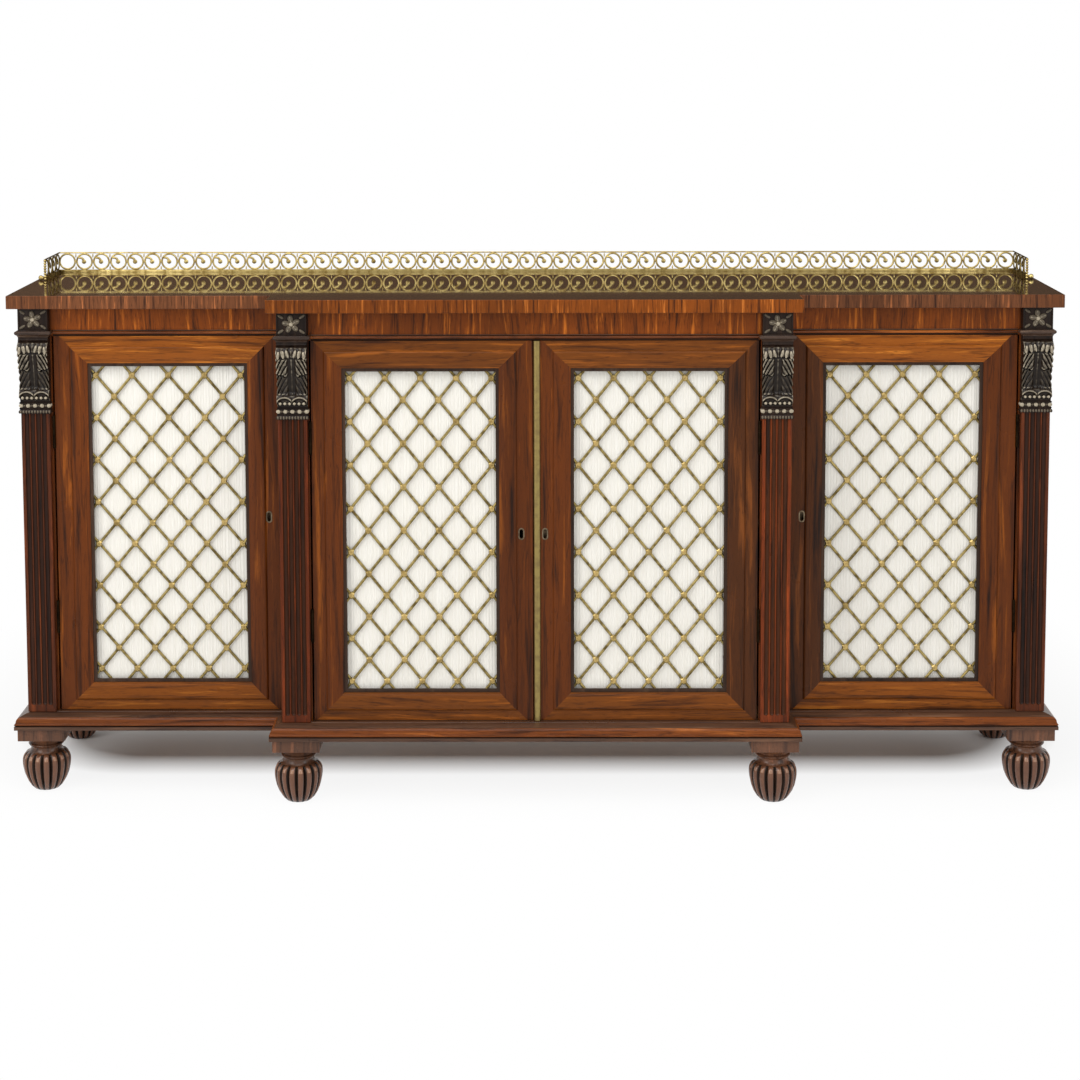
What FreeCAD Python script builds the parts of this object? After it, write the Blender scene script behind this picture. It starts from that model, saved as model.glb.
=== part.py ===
# Breakfront side cabinet with four grille doors, a pierced gallery and bun feet.
# Row frame: X to the right, Y to the back, Z up, origin on the floor under the middle
# of the cabinet, which faces -Y. All sizes are in millimetres.
import FreeCAD, Part
import math
import os
import Sketcher

os.makedirs("parts", exist_ok=True)
doc = FreeCAD.newDocument("side_cabinet")
sheet = doc.addObject("Spreadsheet::Sheet", "Sizes")

# ---------------------------------------------------------------- driving dimensions
SIZES = [
    ("top_width", 1900, "top board, over all"),
    ("top_depth", 448, "top board at the centre section"),
    ("top_height", 922, "upper surface of the top board"),
    ("top_thickness", 24, "top board"),
    ("centre_width", 952, "top board over the projecting centre section"),
    ("break_depth", 64, "how far the centre section stands forward"),
    ("side_overhang", 18, "top board past the carcase at each end"),
    ("front_overhang", 20, "top board past the pilaster shafts"),
    ("back_overhang", 4, "top board past the back boards"),
    ("board_thickness", 20, "cabinet ends"),
    ("partition_thickness", 22, "partitions"),
    ("partition_shift", 2, "partition outside the line of the rosette block"),
    ("face_thickness", 22, "stiles and frieze rails of the front"),
    ("stile_reveal", 0.6, "centre stile past the rosette block"),
    ("floor_thickness", 18, "bottom boards"),
    ("back_thickness", 8, "back boards"),
    ("back_board_count", 12, "back boards side by side"),
    ("stop_clearance", 0.5, "bottom boards behind the doors' back faces"),
    ("shelf_thickness", 16, "shelves"),
    ("shelf_height", 512, "upper surface of the shelves"),
    ("shelf_clearance", 0.5, "shelf to the board beside it"),
    ("shelf_setback", 14, "shelf front edge behind the doors' back faces"),
    ("bearer_height", 14, "shelf bearer"),
    ("bearer_width", 12, "shelf bearer"),
    ("frieze_height", 42, "frieze rail"),
    ("bead_height", 10.5, "bead under the frieze"),
    ("bead_projection", 4, "bead in front of the frieze"),
    ("bead_sagitta", 2.7, "roundness of the bead's nose"),
    ("foot_height", 122, "floor to the plinth"),
    ("foot_inset", 5, "foot block behind the plinth's base"),
    ("foot_block_width", 86, "square block over each foot"),
    ("foot_block_height", 24, "square block over each foot"),
    ("foot_bulb_radius", 45.5, "bun foot at its widest"),
    ("foot_neck_radius", 27, "turned neck"),
    ("foot_ring_radius", 33, "turned ring under the block"),
    ("foot_ring_height", 5, "turned ring under the block"),
    ("foot_bulb_height", 80, "bun foot, floor to neck"),
    ("foot_pad_radius", 22, "where the bun meets the floor"),
    ("foot_lobe_count", 16, "lobes round the bun"),
    ("foot_lobe_depth", 3, "hollow between two lobes"),
    ("foot_turning_sides", 10, "facets round the neck and ring"),
    ("plinth_height", 28, "plinth moulding"),
    ("plinth_projection", 3.5, "plinth base past the top board's edge"),
    ("plinth_width", 80, "plinth member, front to back"),
    ("plinth_base_height", 9, "upright base of the plinth moulding"),
    ("plinth_bead_radius", 4, "bead on the plinth moulding"),
    ("plinth_hollow_radius", 26, "hollow of the plinth moulding"),
    ("plinth_lip", 6, "level top of the plinth in front of the doors"),
    ("shaft_width", 52, "fluted shaft"),
    ("shaft_thickness", 12, "fluted shaft"),
    ("shaft_shift", 1.5, "centre shafts clear of their door hinges"),
    ("flute_count", 4, "flutes on each shaft"),
    ("flute_pitch", 10.4, "one flute to the next"),
    ("flute_radius", 5, "flute"),
    ("flute_depth", 1.6, "flute"),
    ("flute_stop", 14, "plain foot of the shaft under the flutes"),
    ("necking_height", 20, "beaded necking over the shaft"),
    ("necking_projection", 4, "beaded necking past the shaft"),
    ("necking_bead_height", 7, "each bead of the necking"),
    ("necking_bevel", 2, "bevelled edges of the necking's beads"),
    ("console_width", 54, "carved console and rosette block"),
    ("console_height", 120, "carved console"),
    ("console_projection", 16, "console's curled leaf in front of the shaft"),
    ("cap_height", 11, "moulding under the rosette block"),
    ("cap_projection", 5.5, "moulding past the rosette block"),
    ("block_projection", 6, "rosette block in front of the shaft"),
    ("rosette_radius", 17, "flower on the rosette block"),
    ("rosette_relief", 2.5, "flower on the rosette block"),
    ("rosette_sides", 8, "facets round the flower"),
    ("rosette_eye_radius", 6, "flower's centre boss"),
    ("rosette_eye_relief", 2.5, "flower's centre boss"),
    ("door_bottom_gap", 1, "door over the plinth"),
    ("door_top_gap", 1, "door under the bead"),
    ("door_thickness", 22, "door frame"),
    ("hinge_gap", 3.4, "door edge to stile, filled by the hinge leaves"),
    ("latch_gap", 2, "side door to the centre section"),
    ("meeting_gap", 1.5, "between the two centre doors"),
    ("meeting_offset", 4, "left centre door's edge, left of the middle"),
    ("outer_stile_width", 55.6, "stile behind the outer pilaster"),
    ("side_latch_stile", 60.75, "side door's stile at the lock"),
    ("side_hinge_stile", 59.75, "side door's stile at the hinges"),
    ("meeting_stile_reach", 64.25, "centre door frames' inner edges from the middle"),
    ("centre_hinge_stile", 54.25, "centre door's stile at the hinges"),
    ("rail_width", 50, "top and bottom rail of a door"),
    ("moulding_width", 33, "raised moulding of the door frames"),
    ("moulding_rise", 3, "raised moulding in front of the flat band"),
    ("moulding_fall", 3, "inner edge of the moulding behind the flat band"),
    ("rebate_depth", 12, "rebate in the back of the door frame"),
    ("rebate_width", 8, "rebate in the back of the door frame"),
    ("slip_width", 6, "dark slip round the grille"),
    ("slip_thickness", 5, "dark slip round the grille"),
    ("wire_width", 5, "brass lattice wire"),
    ("wire_thickness", 2, "brass lattice wire"),
    ("wire_grip", 5, "lattice wire under the frame"),
    ("grille_columns", 4, "diamonds across a grille"),
    ("grille_rows", 7, "diamonds up a grille"),
    ("side_grille_margin", 17.75, "first stud of a side grille from its slip"),
    ("centre_grille_margin", 12.85, "first stud of a centre grille from its slip"),
    ("stud_radius", 7, "rosette stud at each crossing"),
    ("stud_height", 2.5, "rosette stud at each crossing"),
    ("stud_sides", 4, "facets of a stud"),
    ("stud_clearance", 0.3, "outer studs to the slip"),
    ("silk_thickness", 3, "pleated silk, with its folds"),
    ("silk_clearance", 0.3, "silk behind the lattice and inside its rebate"),
    ("hinge_height", 60, "butt hinge"),
    ("hinge_inset", 145, "butt hinge from the end of the door"),
    ("hinge_leaf_thickness", 1.5, "hinge leaf"),
    ("hinge_leaf_width", 15, "hinge leaf"),
    ("hinge_pin_radius", 1.3, "hinge pin, fast in the fixed leaf"),
    ("hinge_pin_clearance", 0.06, "pin to the flats inside the door's knuckle"),
    ("hinge_knuckle_radius", 2.7, "hinge knuckle"),
    ("hinge_sides", 6, "flats round a hinge knuckle and its bore"),
    ("hinge_knuckle_gap", 0.4, "one knuckle to the next"),
    ("hinge_pin_standoff", 2.5, "pin in front of the door's flat band"),
    ("lock_height", 494, "key hole above the floor, centre doors"),
    ("side_lock_height", 511, "key hole above the floor, side doors"),
    ("side_lock_backset", 24, "key hole from the side door's edge"),
    ("centre_lock_backset", 20.5, "key hole from the centre door's edge"),
    ("lock_case_width", 34, "lock case"),
    ("lock_case_height", 46, "lock case"),
    ("lock_case_thickness", 9, "lock case"),
    ("lock_case_setback", 5, "lock case behind the door's edge"),
    ("bolt_height", 14, "lock bolt"),
    ("bolt_thickness", 4, "lock bolt"),
    ("bolt_length", 26, "lock bolt"),
    ("bolt_clearance", 0.4, "lock bolt in its case"),
    ("bolt_seat", 0.5, "withdrawn lock bolt inside the door's edge"),
    ("mortise_depth", 10, "mortise for a lock bolt"),
    ("mortise_clearance", 1, "lock bolt in its mortise"),
    ("staple_wall", 2, "brass box staple behind the left centre door"),
    ("staple_setback", 1, "box staple from the door's edge"),
    ("escutcheon_radius", 5.5, "brass key hole lining, half its width"),
    ("escutcheon_straight", 11, "straight part of the key hole lining"),
    ("escutcheon_wall", 2.2, "brass key hole lining"),
    ("escutcheon_depth", 4, "brass key hole lining let into the stile"),
    ("escutcheon_proud", 0.4, "brass key hole lining above the stile"),
    ("escutcheon_sides", 8, "facets round the ends of the key hole lining"),
    ("escutcheon_seat", 0.1, "key hole lining inside its hole"),
    ("astragal_width", 12.4, "brass strip at the meeting of the doors"),
    ("astragal_height", 6, "brass strip at the meeting of the doors"),
    ("astragal_foot", 1.2, "square foot of the brass strip"),
    ("astragal_seat", 0.1, "brass strip from the door's edge"),
    ("flush_bolt_width", 9, "flush bolt"),
    ("flush_bolt_thickness", 5, "flush bolt"),
    ("flush_bolt_clearance", 0.4, "flush bolt in its groove"),
    ("flush_bolt_length", 70, "flush bolt"),
    ("flush_bolt_setback", 15, "flush bolt from the door's edge"),
    ("flush_bolt_throw", 9, "travel of a flush bolt"),
    ("flush_bolt_seat", 0.5, "withdrawn flush bolt inside the door's end"),
    ("thumb_width", 5, "thumb piece of a flush bolt"),
    ("thumb_height", 10, "thumb piece of a flush bolt"),
    ("thumb_clearance", 0.5, "thumb piece in its slot"),
    ("thumb_proud", 2, "thumb piece behind the door"),
    ("thumb_inset", 4, "thumb piece from the bolt's inner end"),
    ("keeper_clearance", 0.8, "flush bolt in the mortise it enters"),
    ("gallery_height", 40, "pierced gallery"),
    ("gallery_thickness", 3, "pierced gallery"),
    ("gallery_inset", 15, "gallery from the top board's ends"),
    ("gallery_back_inset", 14, "gallery from the top board's back edge"),
    ("gallery_return_length", 128, "side returns of the gallery"),
    ("gallery_base_height", 5, "bottom band of the gallery"),
    ("gallery_rail_height", 2.6, "top rail of the gallery"),
    ("gallery_pitch", 33.4, "one scroll to the next"),
    ("gallery_stroke", 2.8, "width of a scroll's stem"),
    ("gallery_post_width", 6, "post at the end of a return"),
    ("gallery_knob_radius", 5, "knob on the foot of the end post"),
    ("gallery_knob_sides", 6, "facets round the knob"),
]

for row, (alias, number, note) in enumerate(SIZES, start=1):
    sheet.set("A%d" % row, alias)
    sheet.set("B%d" % row, str(number))
    sheet.setAlias("B%d" % row, alias)
    sheet.set("C%d" % row, note)
doc.recompute()


class Size:
    """A length with its number and the expression that ties it to the sheet."""

    def __init__(self, number, text):
        self.number = number
        self.text = text

    @staticmethod
    def of(other):
        return other if isinstance(other, Size) else Size(float(other), repr(float(other)))

    def join(self, other, sign, number):
        return Size(number, "(%s %s %s)" % (self.text, sign, Size.of(other).text))

    def __add__(self, other):
        return self.join(other, "+", self.number + Size.of(other).number)

    def __sub__(self, other):
        return self.join(other, "-", self.number - Size.of(other).number)

    def __mul__(self, other):
        return self.join(other, "*", self.number * Size.of(other).number)

    def __truediv__(self, other):
        return self.join(other, "/", self.number / Size.of(other).number)

    def __radd__(self, other):
        return Size.of(other) + self

    def __rsub__(self, other):
        return Size.of(other) - self

    def __rmul__(self, other):
        return Size.of(other) * self

    def __neg__(self):
        return Size(-self.number, "(-1 * %s)" % self.text)


def size(alias):
    return Size(float(sheet.get(alias)), "Sizes." + alias)


# ---------------------------------------------------------------- places worked out
# front to back
plinth_front = -(size("top_depth") + size("plinth_projection")) / 2
centre_top_front = plinth_front + size("plinth_projection")
back_edge = centre_top_front + size("top_depth")
side_top_front = centre_top_front + size("break_depth")
side_shaft_front = side_top_front + size("front_overhang")
side_face = side_shaft_front + size("shaft_thickness")
centre_face = side_face - size("break_depth")
board_back = back_edge - size("back_overhang") - size("back_thickness")

# side to side, from the middle
carcase_half = size("top_width") / 2 - size("side_overhang")
end_inner = carcase_half - size("board_thickness")
console_outer = size("centre_width") / 2 - size("side_overhang")
console_inner = console_outer - size("console_width")
partition_outer = console_outer + size("partition_shift")
partition_inner = partition_outer - size("partition_thickness")
side_door_inner = partition_outer + size("latch_gap")
outer_stile_inner = carcase_half - size("outer_stile_width")
side_door_outer = outer_stile_inner - size("hinge_gap")
left_meeting_edge = -size("meeting_offset")
right_meeting_edge = left_meeting_edge + size("meeting_gap")
outer_shaft_centre = carcase_half - size("shaft_width") / 2
centre_shaft_centre = console_inner + size("console_width") / 2 + size("shaft_shift") / 2
centre_stile_inner = console_inner - size("stile_reveal")
centre_door_outer = centre_stile_inner - size("hinge_gap")

# floor to top
plinth_top = size("foot_height") + size("plinth_height")
floor_top = plinth_top + size("floor_thickness")
top_underside = size("top_height") - size("top_thickness")
frieze_bottom = top_underside - size("frieze_height")
bead_bottom = frieze_bottom - size("bead_height")
door_bottom = plinth_top + size("door_bottom_gap")
door_top = bead_bottom - size("door_top_gap")
door_height = door_top - door_bottom
cap_bottom = frieze_bottom - size("cap_height")
necking_top = cap_bottom - size("console_height")
shaft_top = necking_top - size("necking_height")
shelf_bottom = size("shelf_height") - size("shelf_thickness")
carcase_height = top_underside - plinth_top

# bolts
side_bolt_y = side_face + size("door_thickness") + size("lock_case_thickness") / 2
centre_bolt_y = side_bolt_y - size("break_depth")
flush_bolt_x = left_meeting_edge - size("flush_bolt_setback")
flush_bolt_y = centre_face + size("door_thickness") / 2
keeper_width = size("flush_bolt_width") + size("keeper_clearance") * 2
keeper_thickness = size("flush_bolt_thickness") + size("keeper_clearance") * 2
keeper_depth = size("flush_bolt_throw") + size("keeper_clearance")


# ---------------------------------------------------------------- helpers
def bind(item, **lengths):
    for name, length in lengths.items():
        item.setExpression(name, Size.of(length).text)


def place(item, x=0, y=0, z=0, rotation=None):
    if rotation is not None:
        item.Placement = FreeCAD.Placement(FreeCAD.Vector(), rotation)
    for axis, distance in (("x", x), ("y", y), ("z", z)):
        item.setExpression(".Placement.Base." + axis, Size.of(distance).text)


def box(label, x, y, z, length, width, height):
    item = doc.addObject("Part::Box", label)
    bind(item, Length=length, Width=width, Height=height)
    place(item, x, y, z)
    return item


def cylinder(label, x, y, z, radius, height):
    item = doc.addObject("Part::Cylinder", label)
    bind(item, Radius=radius, Height=height)
    place(item, x, y, z)
    return item


def prism(label, x, y, z, radius, height, sides, rotation=None):
    """Straight prism on a regular polygon, for a small round piece."""
    item = doc.addObject("Part::Prism", label)
    bind(item, Polygon=sides, Circumradius=radius, Height=height)
    place(item, x, y, z, rotation)
    return item


def mortise(label, z, height):
    """Square-cut hole round the line of the flush bolts."""
    return box(label, flush_bolt_x - keeper_width / 2, flush_bolt_y - keeper_thickness / 2,
               z, keeper_width, keeper_thickness, height)


def cut(label, base, tools):
    tool = tools[0] if len(tools) == 1 else fuse(label + "_tools", tools)
    item = doc.addObject("Part::Cut", label)
    item.Base = base
    item.Tool = tool
    return item


def fuse(label, pieces):
    item = doc.addObject("Part::MultiFuse", label)
    item.Shapes = pieces
    item.Refine = True
    return item


def group(label, pieces):
    item = doc.addObject("Part::Compound", label)
    item.Links = pieces
    return item


def edge_between(start, end):
    """Line, or arc when the start vertex carries a radius and a turn (+1 is anticlockwise)."""
    first = FreeCAD.Vector(start[0].number, start[1].number, 0)
    last = FreeCAD.Vector(end[0].number, end[1].number, 0)
    if len(start) == 2:
        return Part.LineSegment(first, last)
    radius, turn = start[2].number, start[3]
    chord = last - first
    reach = math.sqrt(max(radius ** 2 - (chord.Length / 2) ** 2, 0))
    side = FreeCAD.Vector(-chord.y, chord.x, 0).normalize() * reach * turn
    centre = first + chord / 2 + side
    low, high = (first, last) if turn > 0 else (last, first)
    start_angle = math.atan2(low.y - centre.y, low.x - centre.x)
    end_angle = math.atan2(high.y - centre.y, high.x - centre.x)
    circle = Part.Circle(centre, FreeCAD.Vector(0, 0, 1), radius)
    return Part.ArcOfCircle(circle, start_angle, end_angle)


def draw(sketch, outline, closed=True):
    """Draws an outline whose vertices, and arc radii, are tied to the sheet."""
    outline = [tuple([Size.of(v[0]), Size.of(v[1])] + list(v[2:])) for v in outline]
    count = len(outline) if closed else len(outline) - 1
    first = sketch.GeometryCount
    for i in range(count):
        sketch.addGeometry(edge_between(outline[i], outline[(i + 1) % len(outline)]))

    def ends(i):
        backwards = len(outline[i]) > 2 and outline[i][3] < 0
        return (2, 1) if backwards else (1, 2)

    def pin(geometry, point, vertex):
        for kind, where in (("DistanceX", vertex[0]), ("DistanceY", vertex[1])):
            index = sketch.addConstraint(
                Sketcher.Constraint(kind, first + geometry, point, where.number))
            sketch.setExpression("Constraints[%d]" % index, where.text)

    for i in range(count):
        start, end = ends(i)
        pin(i, start, outline[i])
        if closed or i < count - 1:
            follower = (i + 1) % count
            sketch.addConstraint(Sketcher.Constraint(
                "Coincident", first + i, end, first + follower, ends(follower)[0]))
        else:
            pin(i, end, outline[i + 1])
        if len(outline[i]) > 2:
            index = sketch.addConstraint(
                Sketcher.Constraint("Radius", first + i, outline[i][2].number))
            sketch.setExpression("Constraints[%d]" % index, outline[i][2].text)
    return sketch


def loose_sketch(label, outline, rotation, closed=True):
    sketch = doc.addObject("Sketcher::SketchObject", label)
    sketch.Placement = FreeCAD.Placement(FreeCAD.Vector(), rotation)
    return draw(sketch, outline, closed)


def body_sketch(body, label, role, outlines):
    sketch = body.newObject("Sketcher::SketchObject", label)
    plane = [p for p in body.Origin.OriginFeatures if p.Role == role][0]
    sketch.AttachmentSupport = [(plane, "")]
    sketch.MapMode = "FlatFace"
    for outline in outlines:
        draw(sketch, outline)
    return sketch


def pad(body, label, sketch, length, both_ways=False):
    item = body.newObject("PartDesign::Pad", label)
    item.Profile = sketch
    item.Midplane = both_ways
    bind(item, Length=length)
    return item


def pocket_through(body, label, sketch):
    item = body.newObject("PartDesign::Pocket", label)
    item.Profile = sketch
    item.Type = 1
    item.Midplane = True
    return item


def span(sign, near, far):
    """Start and length along X of what lies from near to far on one side of the middle."""
    return (near, far - near) if sign > 0 else (-far, far - near)


UPRIGHT = FreeCAD.Rotation(FreeCAD.Vector(1, 0, 0), 90)
LEVEL = FreeCAD.Rotation()
nodes = {}

# how far a cutting piece runs past the face it opens
PAST = 1


def node(label, item):
    item.Label = label
    nodes[label] = item
    return item


# ---------------------------------------------------------------- boards of the carcase
def breakfront(side_x, centre_x, back_y, side_y, centre_y):
    right = [(centre_x, centre_y), (centre_x, side_y), (side_x, side_y), (side_x, back_y)]
    left = [(-x, y) for x, y in reversed(right)]
    return right + left


def make_top_board():
    body = doc.addObject("PartDesign::Body", "top_board")
    outline = breakfront(size("top_width") / 2, size("centre_width") / 2, back_edge,
                         side_top_front, centre_top_front)
    plan = body_sketch(body, "top_plan", "XY_Plane", [outline])
    pad(body, "top_pad", plan, size("top_thickness"))
    place(body, z=top_underside)
    node("top_board", body)


def make_plinth():
    outer = size("top_width") / 2 + size("plinth_projection")
    centre = size("centre_width") / 2 + size("plinth_projection")
    back = back_edge - size("back_overhang")
    side = side_top_front - size("plinth_projection")
    path = breakfront(outer, centre, back, side, plinth_front)[3::-1]
    path = path + [(-x, y) for x, y in reversed(path)]
    spine = loose_sketch("plinth_path", path, LEVEL, closed=False)
    place(spine, z=size("foot_height"))
    bead_top = size("plinth_base_height") + size("plinth_bead_radius")
    door_line = size("front_overhang") + size("shaft_thickness") + size("plinth_projection")
    lip = door_line - size("plinth_lip")
    width = size("plinth_width")
    profile = loose_sketch("plinth_profile", [
        (0, 0), (0, size("plinth_base_height"), size("plinth_bead_radius"), -1),
        (size("plinth_bead_radius"), bead_top, size("plinth_hollow_radius"), 1),
        (lip, size("plinth_height")), (width, size("plinth_height")), (width, 0)], UPRIGHT)
    turned = FreeCAD.Rotation(FreeCAD.Vector(0, 0, 1), 180) * UPRIGHT
    place(profile, outer, back, size("foot_height"), turned)
    run = doc.addObject("Part::Sweep", "plinth_run")
    run.Sections = [profile]
    run.Spine = (spine, ["Edge%d" % (i + 1) for i in range(len(path) - 1)])
    run.Solid = True
    run.Transition = "Right corner"
    run_inner = outer - width
    rail = box("plinth_back_rail", -run_inner, back - size("face_thickness"),
               size("foot_height"), run_inner * 2, size("face_thickness"),
               size("plinth_height"))
    hole = mortise("plinth_bolt_mortise", plinth_top - keeper_depth, keeper_depth * 2)
    node("plinth", group("plinth_parts", [cut("plinth_mortised", run, [hole]), rail]))


def make_boards():
    panel_front = side_face + size("face_thickness")
    partition_front = centre_face + size("face_thickness")
    depth = board_back - panel_front
    for name, x in (("left_end_panel", -carcase_half), ("right_end_panel", end_inner)):
        node(name, box(name, x, panel_front, plinth_top, size("board_thickness"), depth,
                       carcase_height))
    for name, sign in (("left_partition", -1), ("right_partition", 1)):
        start, length = span(sign, partition_inner, partition_outer)
        board = box(name + "_board", start, partition_front, plinth_top, length,
                    board_back - partition_front, carcase_height)
        hole_start, hole_length = span(
            sign, partition_outer - size("mortise_depth"), partition_outer + PAST)
        clearance = size("mortise_clearance")
        hole = box(name + "_mortise", hole_start,
                   side_bolt_y - size("bolt_thickness") / 2 - clearance,
                   size("side_lock_height") - size("bolt_height") / 2 - clearance,
                   hole_length, size("bolt_thickness") + clearance * 2,
                   size("bolt_height") + clearance * 2)
        node(name, cut(name, board, [hole]))
    floors = []
    side_front = panel_front + size("stop_clearance")
    centre_front = partition_front + size("stop_clearance")
    for name, x, x_end, y in (("left", -end_inner, -partition_outer, side_front),
                              ("centre", -partition_inner, partition_inner, centre_front),
                              ("right", partition_outer, end_inner, side_front)):
        floors.append(box(name + "_floor", x, y, plinth_top, x_end - x, board_back - y,
                          size("floor_thickness")))
    node("bottom_boards", group("bottom_boards", floors))
    count = int(size("back_board_count").number)
    width = carcase_half * 2 / size("back_board_count")
    boards = [box("back_board_%d" % i, -carcase_half + width * i, board_back, plinth_top,
                  width, size("back_thickness"), carcase_height) for i in range(count)]
    node("back_boards", group("back_boards", boards))


def make_front_rails():
    stiles = []
    friezes = []
    beads = []
    width = size("face_thickness")
    for side, sign in (("left", -1), ("right", 1)):
        for kind, inner, outer, y in (
                ("outer", outer_stile_inner, carcase_half, side_face),
                ("centre", centre_stile_inner, partition_outer, centre_face)):
            start, length = span(sign, inner, outer)
            stiles.append(box("%s_%s_stile" % (side, kind), start, y, plinth_top, length,
                              width, carcase_height))
        start, length = span(sign, partition_outer, outer_stile_inner)
        friezes.append(box(side + "_frieze", start, side_face, frieze_bottom, length, width,
                           size("frieze_height")))
        run = bead_run(side + "_bead_run", start, side_face, length)
        beads.append(cut(side + "_bead", run, [
            cap_space(side + "_outer", sign * outer_shaft_centre, side_face)]))
    friezes.append(box("centre_frieze", -centre_stile_inner, centre_face, frieze_bottom,
                       centre_stile_inner * 2, width, size("frieze_height")))
    run = bead_run("centre_bead_run", -centre_stile_inner, centre_face,
                   centre_stile_inner * 2)
    hole = mortise("bead_bolt_mortise", bead_bottom - PAST, keeper_depth + PAST)
    beads.append(cut("centre_bead", run, [
        hole, cap_space("left_centre", -centre_shaft_centre, centre_face),
        cap_space("right_centre", centre_shaft_centre, centre_face)]))
    node("front_stiles", group("front_stiles", stiles))
    node("frieze_rails", group("frieze_rails", friezes))
    node("frieze_bead", group("frieze_bead", beads))


def cap_space(label, x, face):
    """Space that a pilaster's cap takes out of the bead's nose."""
    width = size("console_width") + size("cap_projection") * 2
    reach = size("bead_projection") + PAST
    return box(label + "_cap_space", x - width / 2, face - reach, bead_bottom - PAST, width,
               reach, size("bead_height") + PAST * 2)


def bead_run(label, x, face, length):
    body = doc.addObject("PartDesign::Body", label)
    nose = -(size("bead_projection") - size("bead_sagitta"))
    height = size("bead_height")
    back = size("face_thickness")
    radius = (height * height / 4 + size("bead_sagitta") * size("bead_sagitta")) / (
        size("bead_sagitta") * 2)
    profile = body_sketch(body, label + "_profile", "YZ_Plane", [[
        (nose, height, radius, 1), (nose, 0), (back, 0), (back, height)]])
    pad(body, label + "_pad", profile, length)
    place(body, x, face, bead_bottom)
    return body


def make_shelves():
    clearance = size("shelf_clearance")
    setback = size("door_thickness") + size("shelf_setback")
    bearers = []
    for name, x, x_end, face in (
            ("left", -end_inner, -partition_outer, side_face),
            ("centre", -partition_inner, partition_inner, centre_face),
            ("right", partition_outer, end_inner, side_face)):
        front = face + setback
        depth = board_back - clearance - front
        node(name + "_shelf", box(name + "_shelf", x + clearance, front, shelf_bottom,
                                  x_end - x - clearance * 2, depth, size("shelf_thickness")))
        for end, at in (("left", x), ("right", x_end - size("bearer_width"))):
            bearers.append(box("%s_bay_%s_bearer" % (name, end), at, front,
                               shelf_bottom - size("bearer_height"), size("bearer_width"),
                               depth, size("bearer_height")))
    node("shelf_bearers", group("shelf_bearers", bearers))


# ---------------------------------------------------------------- pilasters
def make_shaft(label, x, front):
    """Flat shaft with hollow flutes that stop above its plain foot."""
    width = size("shaft_width")
    bottom = plinth_top
    block = box(label + "_block", x - width / 2, front, bottom, width,
                size("shaft_thickness"), shaft_top - bottom)
    stop = bottom + size("flute_stop")
    centre_y = front + size("flute_depth") - size("flute_radius")
    flutes = []
    count = int(size("flute_count").number)
    for i in range(count):
        at = x + size("flute_pitch") * (i - (size("flute_count") - 1) / 2)
        flutes.append(cylinder("%s_flute_%d" % (label, i), at, centre_y, stop,
                               size("flute_radius"), shaft_top - stop + PAST))
    return cut(label, block, flutes)


def make_console(label, x, front):
    """Scrolled bracket: a leaf curling forward at the top, tapering to a small scroll."""
    body = doc.addObject("PartDesign::Body", label)
    top = size("console_height")
    back = side_face - side_shaft_front
    reach = -size("console_projection")
    curl = top * 0.17
    brow = top - top * 0.10
    waist = top * 0.30
    profile = body_sketch(body, label + "_profile", "YZ_Plane", [[
        (back, 0), (back, top), (reach / 2, top),
        (reach * 0.75, brow, curl, 1), (reach, brow - curl * 1.3, curl, 1),
        (reach * 0.55, brow - curl * 2.1, top, 1), (-1, waist, waist * 0.62, 1),
        (-1, 0)]])
    pad(body, label + "_pad", profile, size("console_width"), both_ways=True)
    place(body, x, front, necking_top)
    return body


def make_necking(label, x, front):
    """Two bevelled beads, which carry the rows of pearls, and a hollow between them."""
    body = doc.addObject("PartDesign::Body", label)
    height = size("necking_height")
    back = side_face - side_shaft_front
    bead = size("necking_bead_height")
    bevel = size("necking_bevel")
    nose = -size("necking_projection")
    outline = [(back, height)]
    for low in (height - bead, Size.of(0)):
        outline += [(nose + bevel, low + bead), (nose, low + bead - bevel),
                    (nose, low + bevel), (nose + bevel, low)]
    profile = body_sketch(body, label + "_profile", "YZ_Plane", [outline + [(back, 0)]])
    width = size("shaft_width") + size("necking_projection") * 2
    pad(body, label + "_pad", profile, width, both_ways=True)
    place(body, x, front, shaft_top)
    return body


def make_cap(label, x, front):
    """Bevelled moulding that breaks forward under the rosette block."""
    body = doc.addObject("PartDesign::Body", label)
    half = size("console_width") / 2 + size("cap_projection")
    nose = -(size("block_projection") + size("cap_projection"))
    back = side_face - side_shaft_front
    plan = body_sketch(body, label + "_plan", "XY_Plane", [[
        (-half, nose), (half, nose), (half, back), (-half, back)]])
    slab = pad(body, label + "_pad", plan, size("cap_height"))
    place(body, x, front, cap_bottom)
    doc.recompute()
    level = (0, size("cap_height").number)
    noses = []
    for i, edge in enumerate(slab.Shape.Edges):
        middle = edge.CenterOfMass
        outside = middle.y < back.number - PAST
        if outside and min(abs(middle.z - z) for z in level) < 1e-6:
            noses.append("Edge%d" % (i + 1))
    bevel = body.newObject("PartDesign::Chamfer", label + "_nose")
    bevel.Base = (slab, noses)
    bind(bevel, Size=size("cap_height") * 0.3)
    return body


def make_block(label, x, front):
    """Square block with a round flower and its centre boss."""
    face = front - size("block_projection")
    height = size("frieze_height")
    width = size("console_width")
    depth = side_face - side_shaft_front + size("block_projection")
    middle = frieze_bottom + height / 2
    block = box(label + "_block", x - width / 2, face, frieze_bottom, width, depth, height)
    flower = prism(label + "_flower", x, face, middle, size("rosette_radius"),
                   size("rosette_relief"), size("rosette_sides"), UPRIGHT)
    boss = prism(label + "_boss", x, face, middle, size("rosette_eye_radius"),
                 size("rosette_relief") + size("rosette_eye_relief"),
                 size("rosette_sides"), UPRIGHT)
    return fuse(label, [block, flower, boss])


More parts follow.
